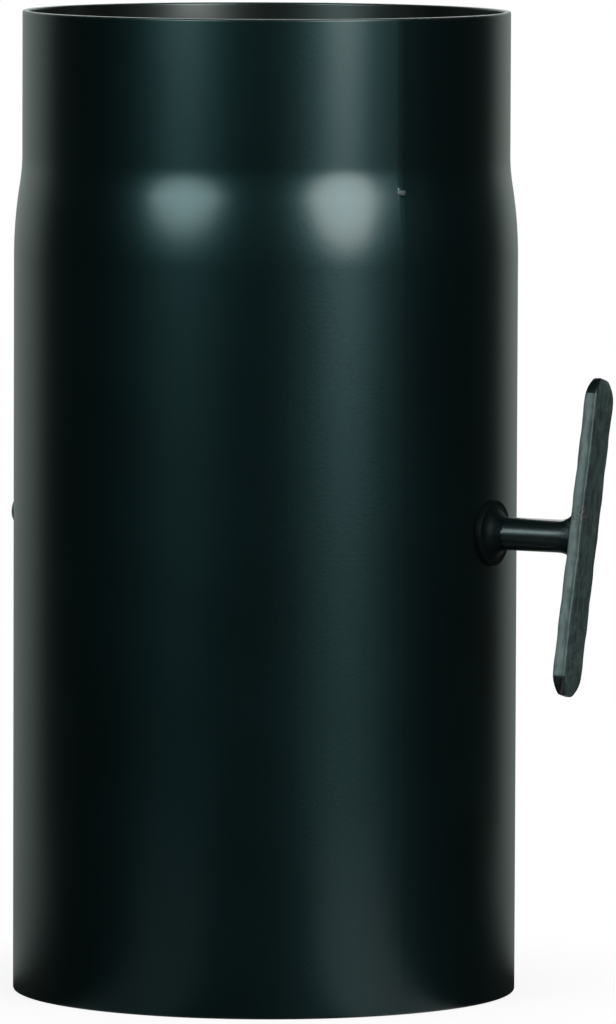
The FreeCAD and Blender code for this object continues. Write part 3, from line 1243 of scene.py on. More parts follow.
    def _lip(self, upper: bool) -> Patch:
        """Rounded cut edge: a quarter circle from the outside, a flat, and a quarter circle to the inside.

        Args:
            upper: True for the neck's edge.

        Returns:
            The grid of the edge.
        """
        end, inwards = (self.length, -1.0) if upper else (0.0, 1.0)
        thickness = self.sheet if upper else self.sheet - self.socket_growth
        quarter = quarter_turn(self.lip_steps)
        depth = np.concatenate([1 - np.cos(quarter), thickness / self.lip - 1 + np.sin(quarter)])
        fall = np.concatenate([1 - np.sin(quarter), 1 - np.cos(quarter)])
        azimuth = self._azimuths()
        height = (end + inwards * self.lip * fall)[:, None]
        at_wall = np.array([[end + inwards * self.lip]])
        outside = self.wall_radius(at_wall) + self.seam_relief(azimuth, at_wall)
        return Patch(upright_grid(outside - self.lip * depth[:, None], azimuth, height))

    def _window(self, hand: int, inside: bool) -> Patch:
        """Wall round one spindle hole: rows that shrink from the window's square border to a circle.

        Args:
            hand: 1 for the handle's side and -1 for the far side.
            inside: True for the bore.

        Returns:
            The grid of the ring.
        """
        radius = self.radius - self.sheet * inside
        steps = np.linspace(-1.0, 1.0, self.window_steps + 1)
        low, high = np.full(self.window_steps, -1.0), np.full(self.window_steps, 1.0)
        turn = np.concatenate([steps[:-1], high, steps[:0:-1], low]) * math.radians(self.window_turn)
        up = np.concatenate([low, steps[:-1], high, steps[:0:-1]]) * self.window_height
        across = radius * np.sin(turn)
        angle = np.arctan2(up, across)
        share = np.linspace(0.0, 1.0, self.window_rings)[:, None]
        across = across + (self.hole_radius * np.cos(angle) - across) * share
        up = up + (self.hole_radius * np.sin(angle) - up) * share
        out = np.sqrt(radius**2 - across**2)
        points = grid_of(hand * out, hand * across, up + self.spindle_height)
        return Patch(points, slot=int(inside))

    def _shell(self) -> list[Patch]:
        """All of the pipe: both sides, both edges, and each hole's two rings and wall.

        Returns:
            The grids.
        """
        patches = [self._wall(False), self._wall(True), self._lip(False), self._lip(True)]
        for hand in (1, -1):
            outer, inner = self._window(hand, False), self._window(hand, True)
            drilled = Patch(np.stack([outer.points[-1], inner.points[-1]]))
            patches += [outer, inner, drilled]
        return patches

    def _bead(self) -> list[Patch]:
        """Weld bead along the seam: a half ellipse carried up the wall, with ripples and one larger drop.

        Returns:
            The painted bead, and the drop in paler steel that is a painted glint.
        """
        rows = int(self.length / self.ripple * self.ripple_rows)
        height = np.linspace(self.lip, self.length - self.lip, rows)[:, None]
        sway, sway_length = self.ripple_sway
        phase = 2 * math.pi * height / self.ripple + sway * np.sin(height / sway_length)
        tall_share, wide_share = self.ripple_share
        ripple = 1 - tall_share + tall_share * np.sin(phase)
        drop_tall, drop_wide, drop_reach = self.drop_size
        drop = np.exp(-(((height - self.crease + self.drop_below_crease) / drop_reach) ** 2))
        tall = self.bead_height * ripple + drop_tall * drop
        wide = self.bead_half_width * (1 - wide_share + wide_share * ripple) + drop_wide * drop
        end = np.zeros((1, 1))
        tall, wide = (np.concatenate([end, size, end]) for size in (tall, wide))
        height = np.concatenate([height[:1], height, height[-1:]])
        seam = math.radians(self.seam_azimuth)
        base = self.wall_radius(height) + self.seam_relief(np.array([seam]), height)
        around = turn_angles(self.bead_columns)
        lift = np.where(np.sin(around) > 0, np.sin(around), self.bead_root * np.sin(around))
        azimuth = seam + wide * np.cos(around) / base
        points = upright_grid(base - self.bead_sink + tall * lift, azimuth, height)
        from_drop = np.abs((height[1:] + height[:-1]) / 2 - self.crease + self.drop_below_crease)
        # Cells round the drop take paler steel as a painted glint.
        painted_glint = np.broadcast_to(from_drop < self.drop_half_height, (len(height) - 1, len(around)))
        return [Patch(points, keep=~painted_glint), Patch(points, keep=painted_glint, slot=1)]


@dataclass(frozen=True)
class HandleAssembly(Assembly):
    """Spindle with its welded T handle and thrust washer, all painted.

    Attributes:
        line: the spindle's line.
        far_end: place of the spindle's far end along the line.
        bar_face: place of the bar's inner face.
        washer_face: place of the thrust washer's inner face.
        rod_radius: radius of the spindle.
        rod_chamfer: chamfer of the spindle's far end.
        rod_into_bar: how far the spindle goes into the bar.
        flat: distance of the plate's seat from the line.
        flat_half: half of that seat's length.
        flat_step: length over which the seat is cut in.
        bar_half: half of the bar's length.
        bar_width: width of the bar.
        bar_thickness: thickness of the bar.
        bar_rows: rows of the bar between its tapers.
        bar_corners: radius of the bar's long edges, from the outer one at the back onwards.
        corner_most: most of the bar's half thickness that a corner takes up.
        corner_steps: steps of each corner.
        bar_taper: length of each tapered end.
        taper_rows: shares of the taper at which it has rows, of which the last one closes the tip.
        tip_width: width of the bar's tips.
        tip_thickness: thickness of the tips.
        tip_round: share of the taper that is rounded off, and share of the tip's size that is lost there.
        bar_waves: height, rate and phase of the waves along the bar.
        wave_sink: how far the waves are sunk in the bar's width and in its thickness.
        wave_depth: share of the waves that shows in the thickness.
        shade_taper: share of the taper from which the tips take painted shade.
        shade_columns: columns of painted shade beside the edges of the tips, and beside the inner side's
            middle.
        washer: the thrust washer.
        bar_weld: legs of the weld at the bar, along the spindle and out from it.
        bar_weld_margin: how far that weld stays from the bar's edges.
        washer_weld: legs of the weld at the washer.
        weld_ripples: height, number and phase of the ripples round a weld.
        weld_root: how far a weld goes into what it joins.
        weld_columns: columns round a weld.
        weld_steps: steps of a weld's hollow.
    """

    line: SpindleLine
    far_end: float
    bar_face: float
    washer_face: float
    rod_radius: float = 5.0
    rod_chamfer: float = 1.0
    rod_into_bar: float = 1.0
    flat: float = 4.5
    flat_half: float = 73.5
    flat_step: float = 0.02
    bar_half: float = 48.5
    bar_width: float = 12.0
    bar_thickness: float = 4.0
    bar_rows: int = 113
    bar_corners: tuple[float, float, float, float] = (0.35, 0.35, 0.35, 1.1)
    corner_most: float = 0.95
    corner_steps: int = 5
    bar_taper: float = 6.5
    taper_rows: tuple[float, ...] = (0.06, 0.18, 0.3, 0.42, 0.54, 0.66, 0.78, 0.9, 0.95, 0.985, 1.0, 1.0)
    tip_width: float = 6.0
    tip_thickness: float = 1.8
    tip_round: Pair = (0.1, 0.25)
    bar_waves: tuple[Wave, ...] = ((0.13, 1 / 5.3, 0.0), (0.10, 1 / 2.1, 1.3), (0.06, 1 / 0.9, 0.4))
    wave_sink: Pair = (0.05, 0.1)
    wave_depth: float = 0.3
    shade_taper: float = 0.2
    shade_columns: tuple[int, int] = (4, 2)
    washer: Washer = Washer(sheet=2.0, radius=10.0, bore=5.05, ease=0.35)
    bar_weld: Pair = (6.0, 4.2)
    bar_weld_margin: float = 0.6
    washer_weld: Pair = (4.5, 4.0)
    weld_ripples: tuple[Wave, ...] = ((0.05, 17, 0.0), (0.04, 5, 0.7))
    weld_root: float = 0.3
    weld_columns: int = 120
    weld_steps: int = 8

    def build(self) -> None:
        """Make the painted pieces that turn, of which the pipe's satin paint mirrors nothing."""
        paint = self.finishes.materials[Slot.HANDLE_PAINT]
        root = self.finishes.root
        makers = {
            "spindle_rod": ([self._rod()], [paint], "spindle"),
            # The bar's second material, the darker handle paint, is painted shade on its inner side and
            # tips.
            "grip_bar": (self._bar(), [self.finishes.grip, paint], "handle_bar"),
            "grip_fillet": ([self._grip_fillet()], [paint], "handle_weld"),
            "thrust_ring": ([self.washer.patch(self.line, self.washer_face)], [root], "thrust_washer"),
            "thrust_fillet": ([self._thrust_fillet()], [root], "thrust_weld"),
        }
        for name, (patches, materials, node) in makers.items():
            piece = sew(name, patches, materials)
            piece.visible_glossy = False
            self.add(piece, Body.DAMPER, Slot.HANDLE_PAINT, node)

    def _rod(self) -> Patch:
        """Round bar with the plate's seat.

        Along the seat the radius is the smaller of the rod's radius and the flat's distance over the cosine
        of the angle from it.

        Returns:
            The closed grid.
        """
        end = self.bar_face + self.rod_into_bar
        stops = [
            (self.far_end, 0.0),
            (self.far_end, self.rod_radius - self.rod_chamfer),
            (self.far_end + self.rod_chamfer, self.rod_radius),
            (-self.flat_half, self.rod_radius),
            (-self.flat_half + self.flat_step, self.rod_radius),
            (self.flat_half - self.flat_step, self.rod_radius),
            (self.flat_half, self.rod_radius),
            (self.bar_face, self.rod_radius),
            (end, self.rod_radius),
            (end, 0.0),
        ]
        along, full = (np.array(column)[:, None] for column in zip(*stops))
        angles = turn_angles(RING_COLUMNS)
        seat = self.flat / np.maximum(np.cos(angles), LEAST_COSINE)
        on_seat = np.abs(along) <= self.flat_half - self.flat_step / 2
        radius = np.where(on_seat, np.minimum(full, seat), full)
        return Patch(self.line.turned(along, radius, angles))

    def _bar(self) -> list[Patch]:
        """Flat bar: a rectangle with round corners carried along the bar.

        It is straight and then tapers at both ends by the square of the way along the taper, with a sum of
        sines for the waves of hammered stock.

        Returns:
            The sides that are held, and the inner side and tips in the darker handle paint, which is
            painted shade.
        """
        body = self.bar_half - self.bar_taper
        taper = body + self.bar_taper * np.array(self.taper_rows)
        up = np.concatenate([-taper[::-1], np.linspace(-body, body, self.bar_rows), taper])[:, None]
        share = np.clip((np.abs(up) - body) / self.bar_taper, 0.0, 1.0)
        rounded, lost = self.tip_round
        near_tip = np.clip(share - (1 - rounded), 0.0, None) / rounded
        rounding = np.sqrt(np.clip(1 - near_tip**2, 0.0, 1.0)) * lost + (1 - lost)
        eased = share**2
        half_y = (self.bar_width + (self.tip_width - self.bar_width) * eased) / 2 * rounding
        half_x = (self.bar_thickness + (self.tip_thickness - self.bar_thickness) * eased) / 2 * rounding
        waves = sum_of_sines(up, self.bar_waves)
        width_sink, thickness_sink = self.wave_sink
        half_y = half_y + (waves - width_sink) * (1 - share)
        half_x = half_x + self.wave_depth * (waves[::-1] - thickness_sink) * (1 - share)
        radius = np.minimum(np.array(self.bar_corners), np.minimum(half_x, half_y) * self.corner_most)
        across_x, across_y = rounded_box(half_x, half_y, radius, self.corner_steps)
        size = np.ones_like(up)
        size[[0, -1]] = 0.0
        middle = self.bar_face + self.bar_thickness / 2
        points = self.line.place(grid_of(middle + across_x * size, across_y * size, up))
        # The inner side and the tips take the darker handle paint as painted shade.
        dark = self._shaded_cells(share)
        return [Patch(points, keep=~dark), Patch(points, keep=dark, slot=1)]

    def _shaded_cells(self, share: np.ndarray) -> np.ndarray:
        """Cells of the bar that take the darker handle paint as painted shade: the inner side, and the
        edges of the tips.

        Args:
            share: way of each row along the taper, as a column.

        Returns:
            True for each cell of painted shade.
        """
        steps = self.corner_steps
        column = np.arange(4 * (steps + 1))
        from_edge = np.minimum(np.abs(column - steps), np.abs(column - 3 * steps - 2))
        from_inner = np.abs(column - 2 * steps - 1)
        in_taper = (share[1:] + share[:-1]) / 2 > self.shade_taper
        tip_columns, inner_columns = self.shade_columns
        return (in_taper & (from_edge <= tip_columns)) | (from_inner <= inner_columns)

    def _fillet(self, face: float, side: float, legs: Pair, bar_flat: float | None) -> Patch:
        """Weld fillet round the spindle: a quarter ellipse, hollow side out, carried round with ripples.

        Args:
            face: place of the face that the spindle meets.
            side: 1 where the weld is beyond the face and -1 where it is before it.
            legs: length of the weld's legs, along the spindle and out from it.
            bar_flat: half width of a bar that the weld stays on, or None.

        Returns:
            The grid of the weld.
        """
        angles = turn_angles(self.weld_columns)
        ripple = sum_of_sines(angles, self.weld_ripples)
        leg_along = legs[0] * (1.0 + ripple)
        leg_out = legs[1] * (1.0 - ripple)
        if bar_flat is not None:
            to_edge = bar_flat / np.maximum(np.abs(np.cos(angles)), LEAST_COSINE)
            leg_out = np.minimum(leg_out, to_edge - self.rod_radius)
        sweep = quarter_turn(self.weld_steps)[:, None]
        along = face + side * leg_along * (1 - np.sin(sweep))
        radius = self.rod_radius + leg_out * (1 - np.cos(sweep))
        root_along = np.full((1, len(angles)), face - side * self.weld_root)
        root_radius = np.full((1, len(angles)), self.rod_radius - self.weld_root)
        along = np.concatenate([root_along, along, root_along])
        radius = np.concatenate([root_radius, radius, root_radius])
        return Patch(self.line.turned(along, radius, angles))

    def _grip_fillet(self) -> Patch:
        """Weld between the spindle and the bar, no wider than the bar's flat."""
        flat = self.bar_width / 2 - self.bar_weld_margin
        return self._fillet(self.bar_face, -1.0, self.bar_weld, flat)

    def _thrust_fillet(self) -> Patch:
        """Weld between the spindle and the thrust washer."""
        return self._fillet(self.washer_face + self.washer.sheet, 1.0, self.washer_weld, None)


@dataclass(frozen=True)
class RetainerAssembly(Assembly):
    """Bowed spring washer, end washer and split pin that keep the spindle in the pipe.

    Attributes:
        line: the spindle's line.
        spring_face: place of the spring washer's face on the pipe.
        washer_face: place of the end washer's face on the spring.
        pin_place: place of the pin along the line.
        spring: the bowed spring washer.
        washer: the end washer.
        rod_radius: radius of the spindle.
        pin_radius: radius of the pin's two legs together.
        pin_split: half of the gap between the legs.
        pin_leg: height of the bent part of a leg.
        pin_spread: angle that the legs are bent out by.
        pin_bend: power of the way along a bent leg that it goes out by.
        pin_margins: distances from the spindle to the bends and to the eye.
        pin_rows: rows of a bent leg, of a straight part and of the eye.
        pin_columns: columns of the wire's round side and, between them, of its flat side.
        pin_core: depth in the wire at which its ends close, as a share of its radius.
        eye_height: inside height of the pin's eye.
        eye_width: inside width of the eye.
        eye_peak: largest value of the sines that the eye's width follows.
    """

    line: SpindleLine
    spring_face: float
    washer_face: float
    pin_place: float
    spring: Washer = Washer(sheet=0.8, radius=9.0, bore=5.1, ease=0.2, rise=1.2)
    washer: Washer = Washer(sheet=2.0, radius=10.0, bore=5.05, ease=0.35)
    rod_radius: float = 5.0
    pin_radius: float = 1.2
    pin_split: float = 0.03
    pin_leg: float = 4.0
    pin_spread: float = 50.0
    pin_bend: float = 1.35
    pin_margins: Pair = (0.4, 0.05)
    pin_rows: tuple[int, int, int] = (10, 8, 33)
    pin_columns: tuple[int, int] = (11, 3)
    pin_core: float = 0.42
    eye_height: float = 3.8
    eye_width: float = 2.6
    eye_peak: float = 0.77

    def build(self) -> None:
        """Make the zinc-plated pieces at the far end."""
        zinc = [self.finishes.materials[Slot.ZINC_STEEL]]
        spring_start = self.spring_face - self.spring.sheet
        washer_start = self.washer_face - self.washer.sheet
        makers = {
            "spring_ring": (self.spring.patch(self.line, spring_start), "spring_washer"),
            "end_ring": (self.washer.patch(self.line, washer_start), "end_washer"),
            "cotter": (self._pin(), "split_pin"),
        }
        for name, (patch, node) in makers.items():
            self.add(sew(name, [patch], zinc), Body.DAMPER, Slot.ZINC_STEEL, node)

    def _pin_path(self) -> np.ndarray:
        """Line of the wire's flat side: out of one bent leg, up, round the eye and down the other leg.

        The eye is a teardrop: its width follows the sine of the turn times the sine of half of the turn, so
        that both legs meet at its foot.

        Returns:
            Across and up for each point.
        """
        to_bend, to_eye = self.pin_margins
        leg_rows, straight_rows, eye_rows = self.pin_rows
        foot = -self.rod_radius - to_bend
        neck = self.rod_radius + to_eye
        reach = np.linspace(1.0, 0.0, leg_rows)[:, None]
        spread = self.pin_leg * math.tan(math.radians(self.pin_spread))
        leg = np.concatenate(
            [self.pin_split + spread * reach**self.pin_bend, foot - self.pin_leg * reach], axis=1
        )
        straight = np.linspace([self.pin_split, foot], [self.pin_split, neck], straight_rows)[1:-1]
        turn = np.linspace(0.0, 2 * math.pi, eye_rows)
        widest = self.eye_width / 2 / self.eye_peak
        eye_across = widest * np.sin(turn) * np.sin(turn / 2) + self.pin_split * np.cos(turn / 2)
        eye_up = neck + self.eye_height * (1 - np.cos(turn)) / 2
        eye = np.stack([eye_across, eye_up], axis=1)
        mirrored = np.array([-1.0, 1.0])
        return np.concatenate([leg, straight, eye, straight[::-1] * mirrored, leg[::-1] * mirrored])

    def _pin(self) -> Patch:
        """Split pin: a half-round wire carried along its path, flat side inwards, with both ends closed.

        Returns:
            The closed grid.
        """
        path = self._pin_path()
        ahead = np.gradient(path, axis=0)
        ahead = ahead / np.linalg.norm(ahead, axis=1, keepdims=True)
        outwards = np.stack([ahead[:, 1], -ahead[:, 0]], axis=1)
        round_columns, flat_columns = self.pin_columns
        angles = np.linspace(0.0, math.pi, round_columns)
        flat = np.linspace(-1.0, 1.0, flat_columns + 2)[1:-1]
        width = np.concatenate([np.cos(angles), flat]) * self.pin_radius
        depth = np.concatenate([np.sin(angles), np.zeros(flat_columns)]) * self.pin_radius
        size = np.ones((len(path), 1))
        size[[0, -1]] = 0.0
        deep = self.pin_radius * self.pin_core * (1 - size) + depth * size
        across = path[:, :1] + outwards[:, :1] * deep
        up = path[:, 1:] + outwards[:, 1:] * deep
        return Patch(self.line.place(grid_of(self.pin_place + width * size, across, up)))


@dataclass(frozen=True)
class PlateAssembly(Assembly):
    """Damper plate on the spindle's seat, with its saddles, screws and nuts.

    Attributes:
        line: the spindle's line.
        nodes: CAD nodes of the frame.
        seat: distance of the plate's near face from the line.
        plate: thickness of the plate.
        strap: thickness of a saddle.
        spacing: distance between the saddles.
        screw_up: distance of a screw from the line.
        screw_radius: radius of a screw.
        screw_length: length under the head.
        screw_point: length and depth of the chamfer at the screw's end.
        into_head: how far the shank goes into the head.
        flats: width of the hexagons across their flats.
        chamfer_left: share of that width that a hexagon's chamfer leaves flat.
        chamfer_angle: angle of that chamfer.
        head_height: height of a screw's head.
        nut_height: height of a nut.
        lock_nut_height: height of the thinner nut that locks it.
        nut_clearance: gap between a nut and its screw.
        countersink: depth and width of the chamfer in a nut's bore.
        pitch: pitch of the thread.
        pitch_rows: rows of each turn of the thread.
        thread_depth: depth of the thread.
        columns: columns round a fastener.
        head_turn: angle between one screw's head and the next, in radians.
        nut_turns: angles of the nut and of the thinner nut from the head, in radians.
    """

    line: SpindleLine
    nodes: Mapping[str, bpy.types.Object]
    seat: float = 4.5
    plate: float = 2.0
    strap: float = 2.0
    spacing: float = 76.0
    screw_up: float = 14.17
    screw_radius: float = 2.5
    screw_length: float = 12.0
    screw_point: Pair = (0.5, 0.4)
    into_head: float = 0.5
    flats: float = 8.0
    chamfer_left: float = 0.94
    chamfer_angle: float = 30.0
    head_height: float = 3.5
    nut_height: float = 4.0
    lock_nut_height: float = 2.7
    nut_clearance: float = 0.05
    countersink: float = 0.4
    pitch: float = 0.8
    pitch_rows: int = 8
    thread_depth: float = 0.35
    columns: int = 72
    head_turn: float = 0.4
    nut_turns: Pair = (0.3, 0.9)

    def build(self) -> None:
        """Dress the plate and the saddles, and make the fasteners."""
        for name in ("damper_plate", "far_saddle", "near_saddle"):
            self.dress(self.nodes[name], Slot.PLATE_STEEL)
        zinc = [self.finishes.materials[Slot.ZINC_STEEL]]
        spots = [(side, foot) for side in (-1, 1) for foot in (-1, 1)]
        back = self.seat + self.plate
        nut_turn, thin_turn = self.nut_turns
        for number, (side, foot) in enumerate(spots, start=1):
            spot = (side * self.spacing / 2, foot * self.screw_up)
            turn = self.head_turn * number
            nut = self._nut(spot, back, self.nut_height, turn + nut_turn)
            thin = self._nut(spot, back + self.nut_height, self.lock_nut_height, turn + thin_turn)
            pieces = {
                f"bolt_{number}": (self._screw(spot, turn), f"clamp_screw_{number}"),
                f"nut_{number}": ([nut], f"clamp_nut_{number}"),
                f"thin_nut_{number}": ([thin], f"lock_nut_{number}"),
            }
            for name, (patches, node) in pieces.items():
                self.add(sew(name, patches, zinc), Body.DAMPER, Slot.ZINC_STEEL, node)

    def _on_screw(self, spot: Pair, depth: np.ndarray, radius: np.ndarray, angles: np.ndarray) -> Patch:
        """Surface of revolution about a screw's line.

        Args:
            spot: place of the screw along and up.
            depth: distance across from the spindle's line, as rows or as a whole grid.
            radius: distance from the screw's line, likewise.
            angles: angle of each column, in radians.

        Returns:
            The grid.
        """
        along = spot[0] + radius * np.cos(angles)
        up = spot[1] + radius * np.sin(angles)
        return Patch(self.line.place(grid_of(along, depth, up)))

    def _hexagon(self, angles: np.ndarray, turn: float) -> np.ndarray:
        """Radius of a hexagon: half its flats over the cosine of the angle from the nearest flat."""
        from_flat = (angles - turn + math.pi / 6) % (math.pi / 3) - math.pi / 6
        return self.flats / 2 / np.cos(from_flat)

    def _chamfer(self, hexagon: np.ndarray) -> tuple[float, np.ndarray]:
        """Turned chamfer of a hexagon's end.

        Args:
            hexagon: radius of the hexagon at each angle.

        Returns:
            Radius of the flat that is left, and how far each corner is cut back.
        """
        left = self.flats / 2 * self.chamfer_left
        return left, (hexagon - left) * math.tan(math.radians(self.chamfer_angle))

    def _nut(self, spot: Pair, start: float, height: float, turn: float) -> Patch:
        """Hexagon nut with both ends chamfered and a countersunk bore, as one closed ring.

        Args:
            spot: place of the screw along and up.
            start: place of the nut's first face across from the line.
            height: height of the nut.
            turn: angle of the nut, in radians.

        Returns:
            The grid.
        """
        angles = turn_angles(self.columns)
        hexagon = self._hexagon(angles, turn)
        left, cut = self._chamfer(hexagon)
        sink = self.countersink
        bore = self.screw_radius + self.nut_clearance
        mouth = bore + sink
        radius = [bore, mouth, left, hexagon, hexagon, left, mouth, bore, bore]
        depth = [sink, 0.0, 0.0, cut, height - cut, height, height, height - sink, sink]
        grid_depth = start + rows_of(depth, self.columns)
        return self._on_screw(spot, grid_depth, rows_of(radius, self.columns), angles)

    def _screw(self, spot: Pair, turn: float) -> list[Patch]:
        """Hexagon-head screw: a chamfered head and a shank with a helical thread.

        The thread's radius falls by its depth times a triangle wave of the turns counted along the shank.

        Args:
            spot: place of the screw along and up.
            turn: angle of the head, in radians.

        Returns:
            The grids of the head and of the shank.
        """
        angles = turn_angles(self.columns)
        hexagon = self._hexagon(angles, turn)
        left, cut = self._chamfer(hexagon)
        under = self.seat - self.strap
        top = -self.head_height
        head_radius = rows_of([0.0, left, hexagon, hexagon, 0.0], self.columns)
        head_depth = rows_of([top, top, cut + top, 0.0, 0.0], self.columns)
        rows = int(self.screw_length / self.pitch * self.pitch_rows)
        reach = np.linspace(0.0, self.screw_length, rows)[:, None]
        wave = np.abs((reach / self.pitch - angles / (2 * math.pi)) % 1.0 - 0.5) * 2
        point_length, point_depth = self.screw_point
        point = np.clip((reach - self.screw_length + point_length) / point_length, 0.0, 1.0)
        shank = self.screw_radius - self.thread_depth * wave - point_depth * point
        shank_depth = np.concatenate([reach[:1] - self.into_head, reach, reach[-1:]])
        shank_radius = np.concatenate([shank[:1] * 0, shank, shank[-1:] * 0])
        return [
            self._on_screw(spot, under + head_depth, head_radius, angles),
            self._on_screw(spot, under + shank_depth, shank_radius, angles),
        ]


@dataclass(frozen=True)
class Softbox:
    """Oval lamp that faces the object.

    Attributes:
        name: name of the lamp.
        bearing: angle to the right of the camera, seen from the object.
        half_width: half of its width, as an angle.
        lowest: angle of its lower edge above the level.
        highest: angle of its upper edge.
        radiance: brightness of its face.
        distance: distance from the object, in metres.
        tint: colour of its light.
        reach: which surfaces it shows to.
        pool: brightness of its light on the floor, as gloss shows it.
    """

    name: str
    bearing: float
    half_width: float
    lowest: float
    highest: float
    radiance: float
    distance: float
    tint: Colour = (1.0, 1.0, 1.0)
    reach: Reach = Reach.ALL
    pool: float = 0.0

    def light(self, target: Vector, camera_azimuth: float) -> None:
        """Hang the lamp round the object.

        Args:
            target: point that it faces, in metres.
            camera_azimuth: azimuth of the camera.
        """
        away = heading(camera_azimuth + self.bearing, (self.lowest + self.highest) / 2)
        lamp = bpy.data.lights.new(self.name, "AREA")
        lamp.shape = "ELLIPSE"
        lamp.size = 2 * self.distance * math.tan(math.radians(self.half_width))
        lamp.size_y = 2 * self.distance * math.tan(math.radians(self.highest - self.lowest) / 2)
        lamp.energy = self.radiance * math.pi * (math.pi / 4 * lamp.size * lamp.size_y)
        lamp.color = self.tint
        holder = bpy.data.objects.new(self.name, lamp)
        holder.location = target + away * self.distance
        holder.rotation_euler = (-away).to_track_quat("-Z", "Y").to_euler()
        holder.visible_camera = False
        holder.visible_glossy = self.reach is Reach.ALL
        bpy.context.scene.collection.objects.link(holder)


@dataclass(frozen=True)
class Studio:
    """White floor, surroundings and lamps.

    Attributes:
        camera_azimuth: azimuth of the camera, which the lamps are set from.
        target: point that the lamps face, in metres.
        floor_radius: radius of the floor, in metres.
        floor_heights: heights of its upper side and its underside, in metres.
        floor_rings: rings of points on its upper side.
        floor_greys: least and most grey of the floor.
        floor_grain_mm: size of the patches of grey.
        white_edge: shares of the radius at which the floor begins to turn to plain white and has done so.
        white_least: how white the camera sees the floor inside that edge.
        dark: brightness of the surroundings on the camera's side.
        bright: brightness of the wall behind the object.
        wall_foot: share of that brightness at the wall's foot and on the floor.
        wall_rise: angles under the level at which the wall has its foot's and its full brightness.
        wall_tint: colour of the surroundings.
        wall_bearing: angle of that wall's middle to the right of the camera, seen from the object.
        wall_edge: angles from its middle at which that wall ends and begins to fade.
        floor_edge: the same for the pale part of the floor, as gloss shows it.
        pool_edge: angles from a lamp's bearing at which its pool of light ends and begins to fade.
        softboxes: the lamps.
    """

    camera_azimuth: float
    target: Vector
    floor_radius: float = 0.45
    floor_heights: Pair = (-0.0001, -0.002)
    floor_rings: int = 20
    floor_greys: Pair = (0.86, 0.9)
    floor_grain_mm: float = 6.0
    white_edge: Pair = (0.17, 0.4)
    white_least: float = 0.85
    dark: float = 0.014
    bright: float = 0.38
    wall_foot: float = 0.5
    wall_rise: Pair = (7.0, 0.0)
    wall_tint: Colour = (0.86, 1.0, 0.92)
    wall_bearing: float = 186.0
    wall_edge: Pair = (59.0, 36.0)
    floor_edge: Pair = (84.0, 46.0)
    pool_edge: Pair = (20.0, 7.0)
    softboxes: tuple[Softbox, ...] = (
        Softbox(
            name="left_softbox",
            bearing=-38.0,
            half_width=17.0,
            lowest=5.4,
            highest=31.0,
            radiance=4.4,
            distance=1.1,
            tint=(0.88, 1.0, 1.0),
            pool=0.115,
        ),
        Softbox(
            name="right_softbox",
            bearing=36.3,
            half_width=16.5,
            lowest=1.3,
            highest=35.0,
            radiance=6.5,
            distance=1.9,
            tint=(1.0, 0.935, 0.925),
            pool=0.36,
        ),
        Softbox(
            name="back_softbox",
            bearing=180.0,
            half_width=13.0,
            lowest=12.0,
            highest=46.0,
            radiance=1.2,
            distance=1.9,
        ),
        Softbox(
            name="top_softbox",
            bearing=20.0,
            half_width=24.0,
            lowest=58.0,
            highest=106.0,
            radiance=5.5,
            distance=1.6,
            reach=Reach.MATT,
        ),
    )

    def build(self) -> None:
        """Hang the lamps, lay the floor and set the surroundings."""
        for softbox in self.softboxes:
            softbox.light(self.target, self.camera_azimuth)
        self._world()
        self._floor()

    def _world(self) -> None:
        """White to the camera, and a dark room with a pale wall behind the object to all other rays."""
        world = bpy.data.worlds.new("studio")
        world.use_nodes = True
        graph = Graph(world.node_tree)
        direction = graph.term("ShaderNodeTexCoord", {}, {}, "Generated")
        foot, full = (-math.sin(math.radians(angle)) for angle in self.wall_rise)
        lit = graph.step(graph.axes(direction)[2], foot, full).between(self.wall_foot, 1.0)
        colour = self._room(graph, direction, self.wall_edge, lit)
        room = graph.term("ShaderNodeBackground", {}, {"Color": colour, "Strength": 1.0})
        white = graph.term("ShaderNodeBackground", {}, {"Color": (1.0, 1.0, 1.0), "Strength": 1.0})
        seen = graph.term("ShaderNodeLightPath", {}, {}, "Is Camera Ray")
        shown = graph.term("ShaderNodeMixShader", {}, {0: seen, 1: room, 2: white})
        graph.node("ShaderNodeOutputWorld", {}, {"Surface": shown})
        bpy.context.scene.world = world

    def _towards(self, graph: Graph, direction: Term, bearing: float, edge: Pair) -> Term:
        """Share of a direction that lies near a bearing.

        Args:
            graph: graph of the material or world.
            direction: direction from the object, of length one.
            bearing: angle to the right of the camera.
            edge: angles from the bearing at which the share is nothing and begins to fade.

        Returns:
            The share.
        """
        middle = heading(self.camera_azimuth + bearing)
        facing = graph.vector_math("DOT_PRODUCT", direction, middle, output="Value")
        outer, inner = (math.cos(math.radians(angle)) for angle in edge)
        return graph.step(facing, outer, inner)

    def _room(self, graph: Graph, direction: Term, edge: Pair, lit: Setting) -> Term:
        """Colour of the surroundings: dark, with the pale wall behind the object.

        Args:
            graph: graph of the material or world.
            direction: direction from the object, of length one.
            edge: angles from the wall's middle at which it ends and begins to fade.
            lit: share of the wall's brightness.

        Returns:
            The colour.
        """
        dark = scaled(self.wall_tint, self.dark)
        bright = scaled(self.wall_tint, self.bright)
        return graph.mix(self._towards(graph, direction, self.wall_bearing, edge) * lit, dark, bright)

    def _floor(self) -> None:
        """Round white floor: rings of points, with a skirt that closes it underneath."""
        rings = np.linspace(1.0 / self.floor_rings, 1.0, self.floor_rings)
        radius = np.concatenate([[0.0], rings, [1.0, 0.0]])[:, None] * self.floor_radius
        upper, under = self.floor_heights
        height = np.full_like(radius, upper)
        height[-2:] = under
        points = upright_grid(radius, turn_angles(RING_COLUMNS), height) / METRES
        floor = sew("floor", [Patch(points)], [self._floor_material()])

